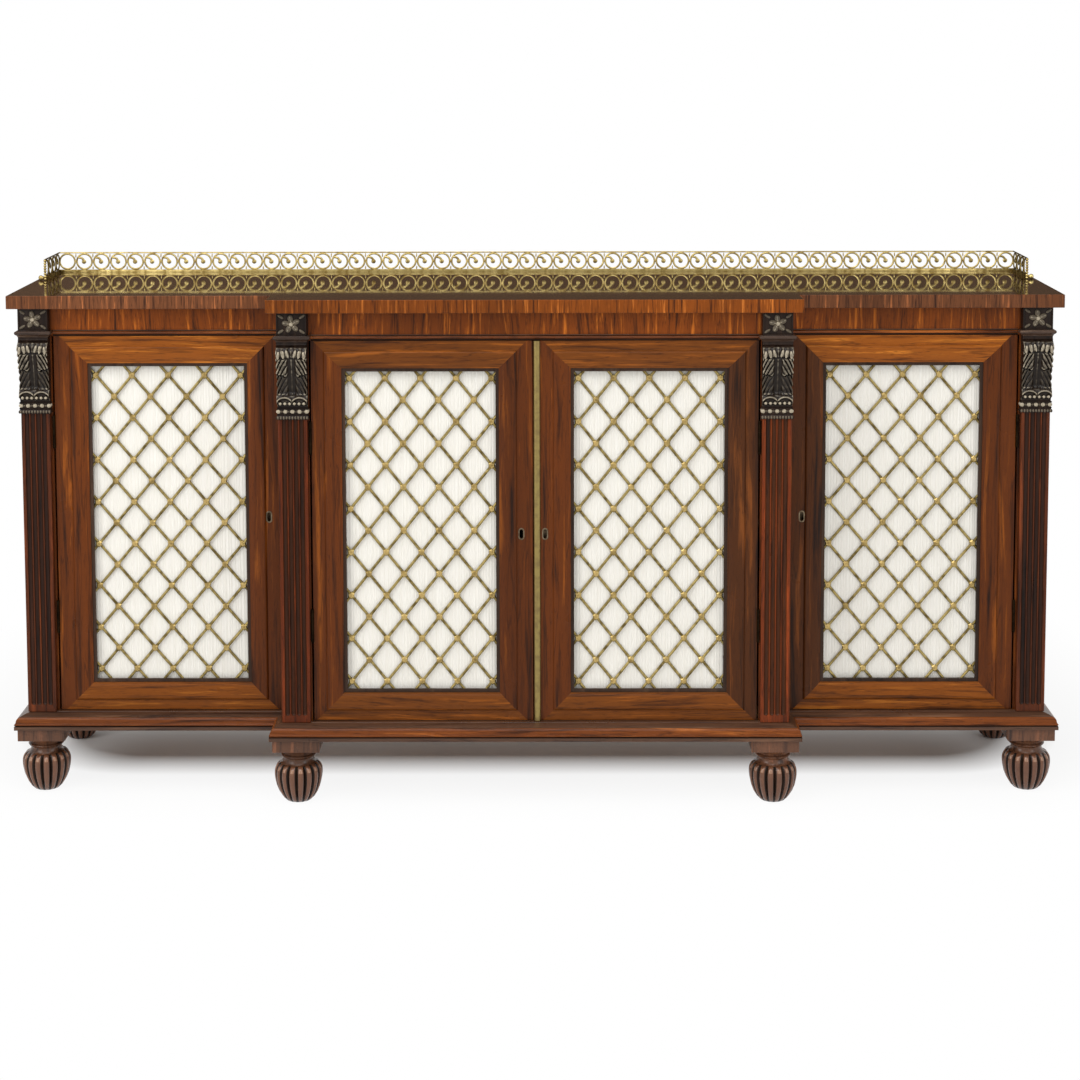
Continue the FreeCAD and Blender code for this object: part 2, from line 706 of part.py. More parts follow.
def make_pilasters():
    outer = (("left_outer", -outer_shaft_centre, side_shaft_front),
             ("right_outer", outer_shaft_centre, side_shaft_front))
    centre_front = side_shaft_front - size("break_depth")
    centre = (("left_centre", -centre_shaft_centre, centre_front),
              ("right_centre", centre_shaft_centre, centre_front))
    for kind, pair in (("outer", outer), ("centre", centre)):
        node(kind + "_pilaster_shafts", group(kind + "_pilaster_shafts", [
            make_shaft(name + "_shaft", x, y) for name, x, y in pair]))
        node(kind + "_pilaster_consoles", group(kind + "_pilaster_consoles", [
            make_console(name + "_console", x, y) for name, x, y in pair]))
    for kind, maker in (("pilaster_neckings", make_necking), ("pilaster_caps", make_cap),
                        ("rosette_blocks", make_block)):
        node(kind, group(kind, [maker(name + "_" + kind, x, y)
                                for name, x, y in outer + centre]))


# ---------------------------------------------------------------- feet
def ring_of(radius, height, hollow, count):
    """Corners of a closed ring, every other one pulled in to lie between two lobes."""
    points = []
    for i in range(count):
        out = radius - hollow if i % 2 else radius
        angle = 2 * math.pi * i / count
        points.append(FreeCAD.Vector(out * math.cos(angle), out * math.sin(angle), height))
    return points


def stacked(rings):
    """Solid of flat faces between rings that are scaled copies of one another."""
    faces = []
    for ring in (rings[0], rings[-1]):
        faces.append(Part.Face(Part.makePolygon(ring + ring[:1])))
    for low, high in zip(rings[:-1], rings[1:]):
        for i in range(len(low)):
            after = (i + 1) % len(low)
            corners = [low[i], low[after], high[after], high[i], low[i]]
            faces.append(Part.Face(Part.makePolygon(corners)))
    solid = Part.Solid(Part.Shell(faces))
    if solid.Volume < 0:
        solid.reverse()
    return solid


def foot_shape():
    """Bun with lobes, then the turned neck and ring up to the square block."""
    high = size("foot_bulb_height").number
    wide = size("foot_bulb_radius").number
    neck = size("foot_neck_radius").number
    ring = size("foot_ring_radius").number
    ring_height = size("foot_ring_height").number
    top = (size("foot_height") - size("foot_block_height")).number
    lobes = int(size("foot_lobe_count").number) * 2
    bun = [(0, size("foot_pad_radius").number), (0.18 * high, 0.85 * wide),
           (0.62 * high, wide), (high, neck)]
    share = size("foot_lobe_depth").number / wide
    pieces = [stacked([ring_of(radius, z, radius * share, lobes) for z, radius in bun])]
    sides = int(size("foot_turning_sides").number)
    for low_z, high_z, radius in ((high, top, neck * (1 - share)),
                                  (high + ring_height, high + ring_height * 2, ring)):
        pieces.append(stacked([ring_of(radius, z, 0, sides) for z in (low_z, high_z)]))
    return pieces[0].fuse(pieces[1:]).removeSplitter()


def make_foot(label, x, y):
    turned = doc.addObject("Part::Feature", label + "_turned")
    turned.Shape = foot_shape()
    place(turned, x, y)
    width = size("foot_block_width")
    block = box(label + "_block", x - width / 2, y - width / 2,
                size("foot_height") - size("foot_block_height"), width, width,
                size("foot_block_height"))
    return fuse(label, [turned, block])


def make_feet():
    inset = size("plinth_projection") - size("foot_inset") - size("foot_block_width") / 2
    outer = size("top_width") / 2 + inset
    centre = size("centre_width") / 2 + inset
    side_y = side_top_front - inset
    centre_y = centre_top_front - inset
    back_y = back_edge - size("back_overhang") + inset
    node("front_feet", group("front_feet", [
        make_foot("left_front_foot", -outer, side_y),
        make_foot("left_centre_foot", -centre, centre_y),
        make_foot("right_centre_foot", centre, centre_y),
        make_foot("right_front_foot", outer, side_y)]))
    node("back_feet", group("back_feet", [
        make_foot("left_back_foot", -outer, back_y),
        make_foot("right_back_foot", outer, back_y)]))


# ---------------------------------------------------------------- doors
class Door:
    """Places shared by the pieces of one door. The hinges are on its outer edge."""

    def __init__(self, name, sign, face, latch_edge, hinge_edge, frame_near,
                 hinge_stile, grille_margin, lock_height):
        self.name = name
        self.sign = sign
        self.face = face
        self.back = face + size("door_thickness")
        self.latch_edge = latch_edge
        self.hinge_edge = hinge_edge
        self.frame_near = frame_near
        self.frame_far = hinge_edge - hinge_stile
        self.grille_near = frame_near + size("slip_width")
        self.grille_far = self.frame_far - size("slip_width")
        self.grille_margin = grille_margin
        self.lock_height = lock_height

    def lock_x(self, backset):
        return (self.latch_edge + backset) * self.sign


frame_bottom = door_bottom + size("rail_width")
frame_top = door_top - size("rail_width")
grille_bottom = frame_bottom + size("slip_width")
grille_top = frame_top - size("slip_width")

side_frame_near = side_door_inner + size("side_latch_stile")
left_side = Door("left_side_door", -1, side_face, side_door_inner, side_door_outer,
                 side_frame_near, size("side_hinge_stile"), size("side_grille_margin"),
                 size("side_lock_height"))
right_side = Door("right_side_door", 1, side_face, side_door_inner, side_door_outer,
                  side_frame_near, size("side_hinge_stile"), size("side_grille_margin"),
                  size("side_lock_height"))
left_centre = Door("left_centre_door", -1, centre_face, -left_meeting_edge,
                   centre_door_outer, size("meeting_stile_reach"),
                   size("centre_hinge_stile"), size("centre_grille_margin"),
                   size("lock_height"))
right_centre = Door("right_centre_door", 1, centre_face, right_meeting_edge,
                    centre_door_outer, size("meeting_stile_reach"),
                    size("centre_hinge_stile"), size("centre_grille_margin"),
                    size("lock_height"))
doors = (left_side, left_centre, right_centre, right_side)


def make_member(label, width, length, x, y, z, quarter_turns):
    """Stile or rail: moulded face, rebated back, and ends mitred to the rail's width."""
    body = doc.addObject("PartDesign::Body", label)
    thick = size("door_thickness")
    crest = thick + size("moulding_rise")
    outer = width - size("moulding_width")
    share = size("moulding_width") / 11
    fall = thick - size("moulding_fall")
    profile = body_sketch(body, label + "_profile", "YZ_Plane", [[
        (0, 0), (0, thick), (outer, thick), (outer + share, crest - 0.5),
        (outer + share * 2, crest, share * 10, -1), (outer + share * 7, crest - 1.8,
                                                     share * 7, 1),
        (width - share, fall), (width, fall), (width, size("rebate_depth")),
        (width - size("rebate_width"), size("rebate_depth")),
        (width - size("rebate_width"), 0)]])
    pad(body, label + "_pad", profile, length)
    mitre = size("rail_width")
    triangles = []
    for end, way in ((Size.of(0), 1), (length, -1)):
        triangles.append([(end - PAST * way, width - mitre - PAST),
                          (end + (mitre + PAST) * way, width + PAST),
                          (end - PAST * way, width + PAST)])
    ends = body_sketch(body, label + "_mitres", "XY_Plane", triangles)
    pocket_through(body, label + "_mitred", ends)
    turn = FreeCAD.Rotation(FreeCAD.Vector(0, 1, 0), 90 * quarter_turns)
    place(body, x, y, z, turn * UPRIGHT)
    return body


def obround(label, x, y, z, radius, straight, depth):
    """Key hole shape: two round ends and a straight middle, running back from y."""
    low = z - straight / 2
    sides = size("escutcheon_sides")
    return fuse(label, [
        box(label + "_middle", x - radius, y, low, radius * 2, depth, straight),
        prism(label + "_low", x, y + depth, low, radius, depth, sides, UPRIGHT),
        prism(label + "_high", x, y + depth, low + straight, radius, depth, sides,
              UPRIGHT)])


def make_frame(door):
    latch_width = door.frame_near - door.latch_edge
    hinge_width = door.hinge_edge - door.frame_far
    rail = size("rail_width")
    inner, outer = door.frame_near * door.sign, door.frame_far * door.sign
    left, right = (inner, outer) if door.sign > 0 else (outer, inner)
    rail_length = right - left + rail * 2
    bottom_rail = make_member(door.name + "_bottom_rail", rail, rail_length,
                              left - rail, door.back, door_bottom, 0)
    top_rail = make_member(door.name + "_top_rail", rail, rail_length,
                           right + rail, door.back, door_top, 2)
    latch_turns, latch_z = (1, door_top) if door.sign > 0 else (-1, door_bottom)
    hinge_turns, hinge_z = (-1, door_bottom) if door.sign > 0 else (1, door_top)
    latch_stile = make_member(door.name + "_latch_stile", latch_width, door_height,
                              door.latch_edge * door.sign, door.back, latch_z, latch_turns)
    hinge_stile = make_member(door.name + "_hinge_stile", hinge_width, door_height,
                              door.hinge_edge * door.sign, door.back, hinge_z, hinge_turns)
    cuts = [key_hole(door)]
    if door is left_centre:
        cuts += bolt_grooves("latch_stile", ("top", "bottom"))
        top_rail = cut("left_centre_top_rail_cut", top_rail,
                       bolt_grooves("top_rail", ("top",)))
        bottom_rail = cut("left_centre_bottom_rail_cut", bottom_rail,
                          bolt_grooves("bottom_rail", ("bottom",)))
    latch_stile = cut(door.name + "_latch_stile_cut", latch_stile, cuts)
    node(door.name + "_frame", group(door.name + "_frame", [
        latch_stile, hinge_stile, bottom_rail, top_rail]))


def key_hole(door):
    backset = size("centre_lock_backset")
    if door in (left_side, right_side):
        backset = size("side_lock_backset")
    return obround(door.name + "_key_hole", door.lock_x(backset), door.face - PAST,
                   door.lock_height, size("escutcheon_radius") + size("escutcheon_seat"),
                   size("escutcheon_straight"), size("door_thickness") + PAST * 2)


def bolt_grooves(member, ends):
    """Grooves in the left centre door for its flush bolts and their thumb pieces."""
    clearance = size("flush_bolt_clearance")
    width = size("flush_bolt_width") + clearance * 2
    thick = size("flush_bolt_thickness") + clearance * 2
    length = size("flush_bolt_length") + size("flush_bolt_seat") + clearance
    slot_width = size("thumb_width") + size("thumb_clearance") * 2
    slot_height = (size("thumb_height") + size("flush_bolt_throw")
                   + size("thumb_clearance") * 2)
    tools = []
    for end, low, slot_low in (("top", door_top - length, top_thumb_z),
                               ("bottom", door_bottom - PAST,
                                bottom_thumb_z - size("flush_bolt_throw"))):
        if end not in ends:
            continue
        name = "%s_%s_bolt" % (member, end)
        tools.append(box(name + "_groove", flush_bolt_x - width / 2,
                         flush_bolt_y - thick / 2, low, width, thick, length + PAST))
        tools.append(box(name + "_slot", flush_bolt_x - slot_width / 2, flush_bolt_y,
                         slot_low - size("thumb_clearance"), slot_width,
                         size("door_thickness"), slot_height))
    return tools


top_thumb_z = (door_top - size("flush_bolt_seat") - size("flush_bolt_length")
               + size("thumb_inset"))
bottom_thumb_z = (door_bottom + size("flush_bolt_seat") + size("flush_bolt_length")
                  - size("thumb_height") - size("thumb_inset"))


def make_flush_bolts():
    width = size("flush_bolt_width")
    thick = size("flush_bolt_thickness")
    for end, low, thumb_z in (
            ("top", door_top - size("flush_bolt_seat") - size("flush_bolt_length"),
             top_thumb_z),
            ("bottom", door_bottom + size("flush_bolt_seat"), bottom_thumb_z)):
        name = end + "_flush_bolt"
        bar = box(name + "_bar", flush_bolt_x - width / 2, flush_bolt_y - thick / 2, low,
                  width, thick, size("flush_bolt_length"))
        thumb = box(name + "_thumb", flush_bolt_x - size("thumb_width") / 2, flush_bolt_y,
                    thumb_z, size("thumb_width"),
                    size("door_thickness") / 2 + size("thumb_proud"), size("thumb_height"))
        node(name, fuse(name, [bar, thumb]))


def make_slip(door):
    width = size("slip_width")
    thick = size("slip_thickness")
    front = door.back - size("rebate_depth") - thick
    start, length = span(door.sign, door.frame_near, door.frame_far)
    strips = []
    for end, z in (("bottom", frame_bottom), ("top", grille_top)):
        strips.append(box("%s_slip_%s" % (door.name, end), start, front, z, length, thick,
                          width))
    for end, x in (("left", start), ("right", start + length - width)):
        strips.append(box("%s_slip_%s" % (door.name, end), x, front, grille_bottom, width,
                          thick, grille_top - grille_bottom))
    node(door.name + "_slip", group(door.name + "_slip", strips))


def clipped(point, direction, half_width, half_height):
    """Reach of a line through a point, both ways, inside a rectangle about the origin."""
    reaches = []
    for along, half, at in ((direction.x, half_width, point.x),
                            (direction.z, half_height, point.z)):
        reaches.append(sorted(((-half - at) / along, (half - at) / along)))
    return max(r[0] for r in reaches), min(r[1] for r in reaches)


def wire_bars(slope_x, slope_z, offsets, half_width, half_height, y):
    """Parallel flat wires along one diagonal, cut to the grille's rectangle."""
    width = size("wire_width").number
    thick = size("wire_thickness").number
    direction = FreeCAD.Vector(slope_x, 0, slope_z).normalize()
    turn = FreeCAD.Rotation(FreeCAD.Vector(1, 0, 0), direction)
    bars = []
    for offset in offsets:
        point = FreeCAD.Vector(0, 0, offset)
        low, high = clipped(point, direction, half_width, half_height)
        if high - low < width:
            continue
        bar = Part.makeBox(high - low, thick, width, FreeCAD.Vector(0, 0, -width / 2))
        bar.Placement = FreeCAD.Placement(
            point + direction * low + FreeCAD.Vector(0, y, 0), turn)
        bars.append(bar)
    return bars


def stud_shape():
    """Faceted rosette stud with its point towards the front."""
    radius = size("stud_radius").number
    sides = int(size("stud_sides").number)
    corners = []
    for i in range(sides):
        angle = 2 * math.pi * i / sides
        corners.append(FreeCAD.Vector(radius * math.cos(angle), 0, radius * math.sin(angle)))
    tip = FreeCAD.Vector(0, -size("stud_height").number, 0)
    faces = [Part.Face(Part.makePolygon(corners + corners[:1]))]
    for i in range(sides):
        side = [corners[i], corners[(i + 1) % sides], tip]
        faces.append(Part.Face(Part.makePolygon(side + side[:1])))
    solid = Part.Solid(Part.Shell(faces))
    if solid.Volume < 0:
        solid.reverse()
    return solid


def make_grille(door):
    """Diamond lattice of flat wires crossing in two layers, a stud on each crossing."""
    columns = int(size("grille_columns").number)
    rows = int(size("grille_rows").number)
    half_width = (door.grille_far - door.grille_near).number / 2
    half_height = (grille_top - grille_bottom).number / 2
    stud = size("stud_radius").number
    step_x = (half_width - stud - size("stud_clearance").number) / columns
    step_z = (half_height - door.grille_margin.number) / rows
    grip = size("slip_width").number + size("wire_grip").number
    thick = size("wire_thickness").number
    reach = columns + rows
    offsets = [step_z * (2 * i - reach) for i in range(reach + 1)]
    pieces = []
    for slope, y in ((1, 0), (-1, thick)):
        pieces += wire_bars(step_x, slope * step_z, offsets, half_width + grip,
                            half_height + grip, y)
    for row in range(-rows, rows + 1):
        for column in range(-columns, columns + 1):
            if (row + rows + column + columns) % 2 == 0:
                crossing = stud_shape()
                crossing.translate(FreeCAD.Vector(column * step_x, 0, row * step_z))
                pieces.append(crossing)
    feature = doc.addObject("Part::Feature", door.name + "_grille")
    feature.Shape = Part.makeCompound(pieces)
    centre = (door.grille_near + door.grille_far) / 2 * door.sign
    place(feature, centre, door.back - size("rebate_depth"), (grille_bottom + grille_top) / 2)
    node(door.name + "_grille", feature)


def make_silk(door):
    """Pleated silk behind the lattice, a plain sheet as thick as its folds."""
    clearance = size("silk_clearance")
    edge = size("rebate_width") - clearance
    start, length = span(door.sign, door.frame_near - edge, door.frame_far + edge)
    front = door.back - size("rebate_depth") + size("wire_thickness") * 2 + clearance
    node(door.name + "_silk", box(door.name + "_silk", start, front, frame_bottom - edge,
                                  length, size("silk_thickness"),
                                  frame_top - frame_bottom + edge * 2))


# ---------------------------------------------------------------- brassware of the doors
# the pin turns inside a bore whose flats stand clear of it
hinge_bore_radius = ((size("hinge_pin_radius") + size("hinge_pin_clearance"))
                     / math.cos(math.pi / size("hinge_sides").number))


def hinge_leaf(label, door, z, on_door):
    """Leaf with tabs and knuckles; the fixed one carries the pin, the door's is bored."""
    axis_x = (door.hinge_edge + size("hinge_gap") / 2) * door.sign
    axis_y = door.face - size("hinge_pin_standoff")
    thick = size("hinge_leaf_thickness")
    near = door.hinge_edge if on_door else door.hinge_edge + size("hinge_gap") - thick
    start, length = span(door.sign, near, near + thick)
    gap = size("hinge_knuckle_gap")
    clear_of_knuckle = size("hinge_knuckle_radius") + gap
    height = size("hinge_height")
    third = (height - gap * 2) / 3
    sides = size("hinge_sides")
    pieces = [box(label + "_plate", start, axis_y + clear_of_knuckle, z, length,
                  size("hinge_leaf_width"), height)]
    starts = [z + third + gap] if on_door else [z, z + (third + gap) * 2]
    for i, low in enumerate(starts):
        pieces.append(box("%s_tab_%d" % (label, i), start, axis_y, low, length,
                          clear_of_knuckle + PAST, third))
        pieces.append(prism("%s_knuckle_%d" % (label, i), axis_x, axis_y, low,
                            size("hinge_knuckle_radius"), third, sides))
    if on_door:
        bore = prism(label + "_bore", axis_x, axis_y, z, hinge_bore_radius, height, sides)
        return cut(label, fuse(label + "_solid", pieces), [bore])
    pieces.append(cylinder(label + "_pin", axis_x, axis_y, z, size("hinge_pin_radius"),
                           height))
    return fuse(label, pieces)


def make_hinges():
    fixed = []
    for door in doors:
        moving = []
        for end, z in (("lower", door_bottom + size("hinge_inset")),
                       ("upper", door_top - size("hinge_inset") - size("hinge_height"))):
            name = "%s_%s_hinge" % (door.name, end)
            moving.append(hinge_leaf(name + "_door_leaf", door, z, True))
            fixed.append(hinge_leaf(name + "_fixed_leaf", door, z, False))
        node(door.name + "_hinge_leaves", group(door.name + "_hinge_leaves", moving))
    node("fixed_hinge_leaves", group("fixed_hinge_leaves", fixed))


def make_escutcheon(door, backset):
    x = door.lock_x(backset)
    front = door.face - size("escutcheon_proud")
    depth = size("escutcheon_depth") + size("escutcheon_proud")
    name = door.name + "_escutcheon"
    radius = size("escutcheon_radius")
    straight = size("escutcheon_straight")
    outer = obround(name + "_outside", x, front, door.lock_height, radius, straight, depth)
    inner = obround(name + "_inside", x, front - PAST, door.lock_height,
                    radius - size("escutcheon_wall"), straight, depth + PAST * 2)
    return cut(name, outer, [inner])


def make_lock(door, backset, bolt_y):
    """Lock case on the back of the latch stile, with a sliding bolt, and its key hole."""
    setback = size("lock_case_setback")
    near = door.latch_edge + setback
    start, length = span(door.sign, near, near + size("lock_case_width"))
    height = size("lock_case_height")
    case = box(door.name + "_lock_case", start, door.back, door.lock_height - height / 2,
               length, size("lock_case_thickness"), height)
    clearance = size("bolt_clearance")
    thick = size("bolt_thickness")
    tip = door.latch_edge + size("bolt_seat")
    bolt_start, bolt_run = span(door.sign, tip, tip + size("bolt_length"))
    channel_start, channel_run = span(
        door.sign, door.latch_edge, tip + size("bolt_length") + clearance)
    low = door.lock_height - size("bolt_height") / 2
    channel = box(door.name + "_bolt_channel", channel_start,
                  bolt_y - thick / 2 - clearance, low - clearance, channel_run,
                  thick + clearance * 2, size("bolt_height") + clearance * 2)
    bored = cut(door.name + "_lock_case_cut", case, [channel])
    node(door.name + "_lock", group(door.name + "_lock",
                                    [bored, make_escutcheon(door, backset)]))
    node(door.name + "_lock_bolt", box(door.name + "_lock_bolt", bolt_start,
                                       bolt_y - thick / 2, low, bolt_run, thick,
                                       size("bolt_height")))


def make_keeper():
    """Box staple behind the left centre door, which the right door's bolt enters."""
    door = left_centre
    wall = size("staple_wall")
    clearance = size("mortise_clearance")
    thick = size("bolt_thickness") + clearance * 2
    height = size("bolt_height") + clearance * 2
    depth = centre_bolt_y - door.back + thick / 2 + wall
    low = door.lock_height - height / 2
    near = door.latch_edge + size("staple_setback")
    start, length = span(door.sign, near, near + size("mortise_depth") + wall)
    shell = box("staple_shell", start, door.back, low - wall, length, depth,
                height + wall * 2)
    hollow = box("staple_hollow", start + wall, centre_bolt_y - thick / 2, low, length,
                 thick, height)
    staple = cut("staple", shell, [hollow])
    node("left_centre_door_staple", group("left_centre_door_staple", [
        staple, make_escutcheon(door, size("centre_lock_backset"))]))


def make_astragal():
    """Half-round strip on the right centre door, down the meeting line."""
    body = doc.addObject("PartDesign::Body", "meeting_astragal")
    width = size("astragal_width")
    foot = size("astragal_foot")
    sagitta = size("astragal_height") - foot
    radius = (width * width / 4 + sagitta * sagitta) / (sagitta * 2)
    profile = body_sketch(body, "astragal_profile", "XY_Plane", [[
        (0, 0), (0, -foot, radius, 1), (width, -foot), (width, 0)]])
    pad(body, "astragal_pad", profile, door_height)
    place(body, right_meeting_edge + size("astragal_seat"), right_centre.face, door_bottom)
    node("meeting_astragal", body)


# ---------------------------------------------------------------- gallery
def stroke(points, width):
    """Flat band of even width along a run of points, as a face in the XZ plane."""
    left = []
    right = []
    for i, point in enumerate(points):
        before = points[max(i - 1, 0)]
        after = points[min(i + 1, len(points) - 1)]
        along = (after - before).normalize()
        across = FreeCAD.Vector(-along.z, 0, along.x) * (width / 2)
        left.append(point + across)
        right.append(point - across)
    outline = left + right[::-1]
    return Part.Face(Part.makePolygon(outline + outline[:1]))


def scroll_faces(pitch):
    """One scroll: a stem from the rail rolls round to an eye, with a leaf after it."""
    base = size("gallery_base_height").number
    rail = size("gallery_height").number - size("gallery_rail_height").number
    stem = size("gallery_stroke").number
    radius = (rail - base) * 0.34
    centre = FreeCAD.Vector(pitch * 0.56, 0, base + radius + stem * 0.3)

    def around(degrees, share):
        angle = math.radians(degrees)
        return centre + FreeCAD.Vector(math.cos(angle), 0, math.sin(angle)) * radius * share

    path = [FreeCAD.Vector(pitch * 0.1, 0, rail + stem / 2)]
    path += [around(180 + 68 * i, 1) for i in range(5)]
    path.append(around(180, 0.15))
    foot = centre.x + pitch / 2
    half = (pitch - radius * 2) / 2 - stem * 0.4
    leaf_outline = [FreeCAD.Vector(foot - half, 0, base),
                    FreeCAD.Vector(foot + half, 0, base),
                    FreeCAD.Vector(foot, 0, base + radius * 1.15)]
    return [stroke(path, stem),
            Part.Face(Part.makePolygon(leaf_outline + leaf_outline[:1]))]


def gallery_run(label, length):
    """Pierced strip of running scrolls between a bottom band and a top rail."""
    count = max(1, round(length / size("gallery_pitch").number))
    pitch = length / count
    high = size("gallery_height").number
    base = size("gallery_base_height").number
    rail = size("gallery_rail_height").number

    def band(low, height, left=0.0, width=length):
        corners = [FreeCAD.Vector(left, 0, low), FreeCAD.Vector(left + width, 0, low),
                   FreeCAD.Vector(left + width, 0, low + height),
                   FreeCAD.Vector(left, 0, low + height)]
        return Part.Face(Part.makePolygon(corners + corners[:1]))

    stem = size("gallery_stroke").number
    faces = [band(high - rail, rail), band(0, high, 0.0, stem),
             band(0, high, length - stem, stem)]
    for i in range(count):
        for face in scroll_faces(pitch):
            face.translate(FreeCAD.Vector(pitch * i, 0, 0))
            faces.append(face)
    whole = band(0, base).fuse(faces)
    window = band(0, high)
    strip = whole.common(window).removeSplitter()
    solid = strip.extrude(FreeCAD.Vector(0, size("gallery_thickness").number, 0))
    feature = doc.addObject("Part::Feature", label)
    feature.Shape = solid
    return feature


def make_knob(label, x, sign, y, z):
    """Faceted ball turned on a lathe, with its flat seat against the post."""
    radius = size("gallery_knob_radius").number
    sides = int(size("gallery_knob_sides").number)
    rings = [ring_of(radius * share, radius * out, 0, sides)
             for share, out in ((0.5, 0), (0.9, 0.5), (1, 1), (0.8, 1.6), (0.3, 2))]
    knob = doc.addObject("Part::Feature", label)
    knob.Shape = stacked(rings)
    place(knob, x, y, z, FreeCAD.Rotation(FreeCAD.Vector(0, 1, 0), 90 * sign))
    return knob


def make_gallery():
    thick = size("gallery_thickness")
    half = size("top_width") / 2 - size("gallery_inset")
    back_y = back_edge - size("gallery_back_inset") - thick
    back = gallery_run("gallery_back", (half * 2).number)
    place(back, -half, back_y, size("top_height"))
    node("gallery_back", back)
    length = size("gallery_return_length")
    turn = FreeCAD.Rotation(FreeCAD.Vector(0, 0, 1), 90)
    post = size("gallery_post_width")
    knob = size("gallery_knob_radius")
    knobs = []
    for side, sign, x in (("left", -1, -half + thick), ("right", 1, half)):
        run = gallery_run("gallery_%s_return_run" % side, length.number)
        place(run, x, back_y - length, size("top_height"), turn)
        post_x, post_width = span(sign, half - post, half)
        upright = box("gallery_%s_post" % side, post_x, back_y - length - post,
                      size("top_height"), post_width, post, size("gallery_height"))
        node("gallery_%s_return" % side, group("gallery_%s_return" % side, [run, upright]))
        knobs.append(make_knob("gallery_%s_knob" % side, half * sign, sign,
                               back_y - length - post / 2, size("top_height") + knob))
    node("gallery_knobs", group("gallery_knobs", knobs))


# ---------------------------------------------------------------- build and export
make_top_board()
make_boards()
make_plinth()
make_front_rails()
make_shelves()
make_pilasters()
make_feet()
for each_door in doors:
    make_frame(each_door)
    make_slip(each_door)
    make_grille(each_door)
    make_silk(each_door)
make_hinges()
make_lock(left_side, size("side_lock_backset"), side_bolt_y)
make_lock(right_side, size("side_lock_backset"), side_bolt_y)
make_lock(right_centre, size("centre_lock_backset"), centre_bolt_y)
make_keeper()
make_astragal()
make_flush_bolts()
make_gallery()
doc.recompute()

for item in doc.Objects:
    if "Invalid" in item.State or "Error" in item.State:
        raise ValueError("%s did not compute" % item.Label)
for label, item in nodes.items():
    shape = item.Shape
    if shape.isNull() or not shape.isValid() or not shape.Solids:
        raise ValueError("%s has no valid solid" % label)
for label, item in nodes.items():
    item.Shape.exportStep("parts/%s.step" % label)
    print(label, len(item.Shape.Solids), "solids")
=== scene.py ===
import math
import random

import bmesh
import bpy
from mathutils import Matrix, Vector


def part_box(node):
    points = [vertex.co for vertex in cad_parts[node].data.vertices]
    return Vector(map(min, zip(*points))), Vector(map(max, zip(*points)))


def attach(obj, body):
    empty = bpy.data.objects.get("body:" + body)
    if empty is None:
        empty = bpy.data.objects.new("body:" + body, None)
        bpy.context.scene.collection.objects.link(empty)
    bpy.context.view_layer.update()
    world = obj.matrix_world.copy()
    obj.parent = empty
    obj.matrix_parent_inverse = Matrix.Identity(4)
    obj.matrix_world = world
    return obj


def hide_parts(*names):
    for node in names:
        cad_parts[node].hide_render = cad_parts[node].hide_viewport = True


# Breakfront side cabinet in rosewood, with brass grille doors, a pierced brass gallery
# and lobed bun feet. Pieces are shaped in millimetres and scaled to metres at the end.
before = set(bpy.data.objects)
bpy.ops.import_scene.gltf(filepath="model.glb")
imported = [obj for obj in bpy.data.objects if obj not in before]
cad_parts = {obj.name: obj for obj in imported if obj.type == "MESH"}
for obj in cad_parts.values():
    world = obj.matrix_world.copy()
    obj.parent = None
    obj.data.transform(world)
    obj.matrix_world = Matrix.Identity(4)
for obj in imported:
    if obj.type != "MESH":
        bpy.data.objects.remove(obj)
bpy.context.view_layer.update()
MM = 0.001
chance = random.Random(7)

RIGHT, BACK, UP = Vector((1, 0, 0)), Vector((0, 1, 0)), Vector((0, 0, 1))
LEFT, FRONT, DOWN = -RIGHT, -BACK, -UP

# ---------------- sizes, in millimetres
TOP_HALF, TOP_CENTRE_HALF = 950.0, 476.0
TOP_BACK, TOP_SIDE_FRONT, TOP_CENTRE_FRONT = 225.75, -158.25, -222.25
TOP_LOW, TOP_HIGH = 898.0, 922.0
# the front planes of the doors and stiles
SIDE_FACE, CENTRE_FACE = -126.25, -190.25
PLINTH_HALF, PLINTH_CENTRE_HALF = 953.5, 479.5
PLINTH_BACK, PLINTH_SIDE_FRONT, PLINTH_CENTRE_FRONT = 221.75, -161.75, -225.75
PLINTH_LOW, PLINTH_HIGH, PLINTH_DEPTH = 122.0, 150.0, 80.0
BEAD_LOW, BEAD_HIGH = 845.5, 856.0
FRIEZE_LOW = 856.0
BOARD = 22.0
# the pilasters' parts stand out from the front planes, the caps and rosettes most
SHAFT_HALF, SHAFT_OUT, SHAFT_TOP = 26.0, 12.0, 705.0
CONSOLE_HALF, CONSOLE_LOW, CONSOLE_HIGH = 27.0, 725.0, 845.0
CAP_OUT = 18.0
OUTER_X, CENTRE_X = 906.0, 431.75
PILASTERS = ((-OUTER_X, SIDE_FACE), (-CENTRE_X, CENTRE_FACE),
             (CENTRE_X, CENTRE_FACE), (OUTER_X, SIDE_FACE))
DOOR_THICKNESS, RAIL_WIDTH = 22.0, 50.0
# each door's face, and its key hole in X and Z
DOORS = {
    "left_side_door": (SIDE_FACE, -486.0, 511.0),
    "left_centre_door": (CENTRE_FACE, -24.5, 494.0),
    "right_centre_door": (CENTRE_FACE, 18.0, 494.0),
    "right_side_door": (SIDE_FACE, 486.0, 511.0),
}
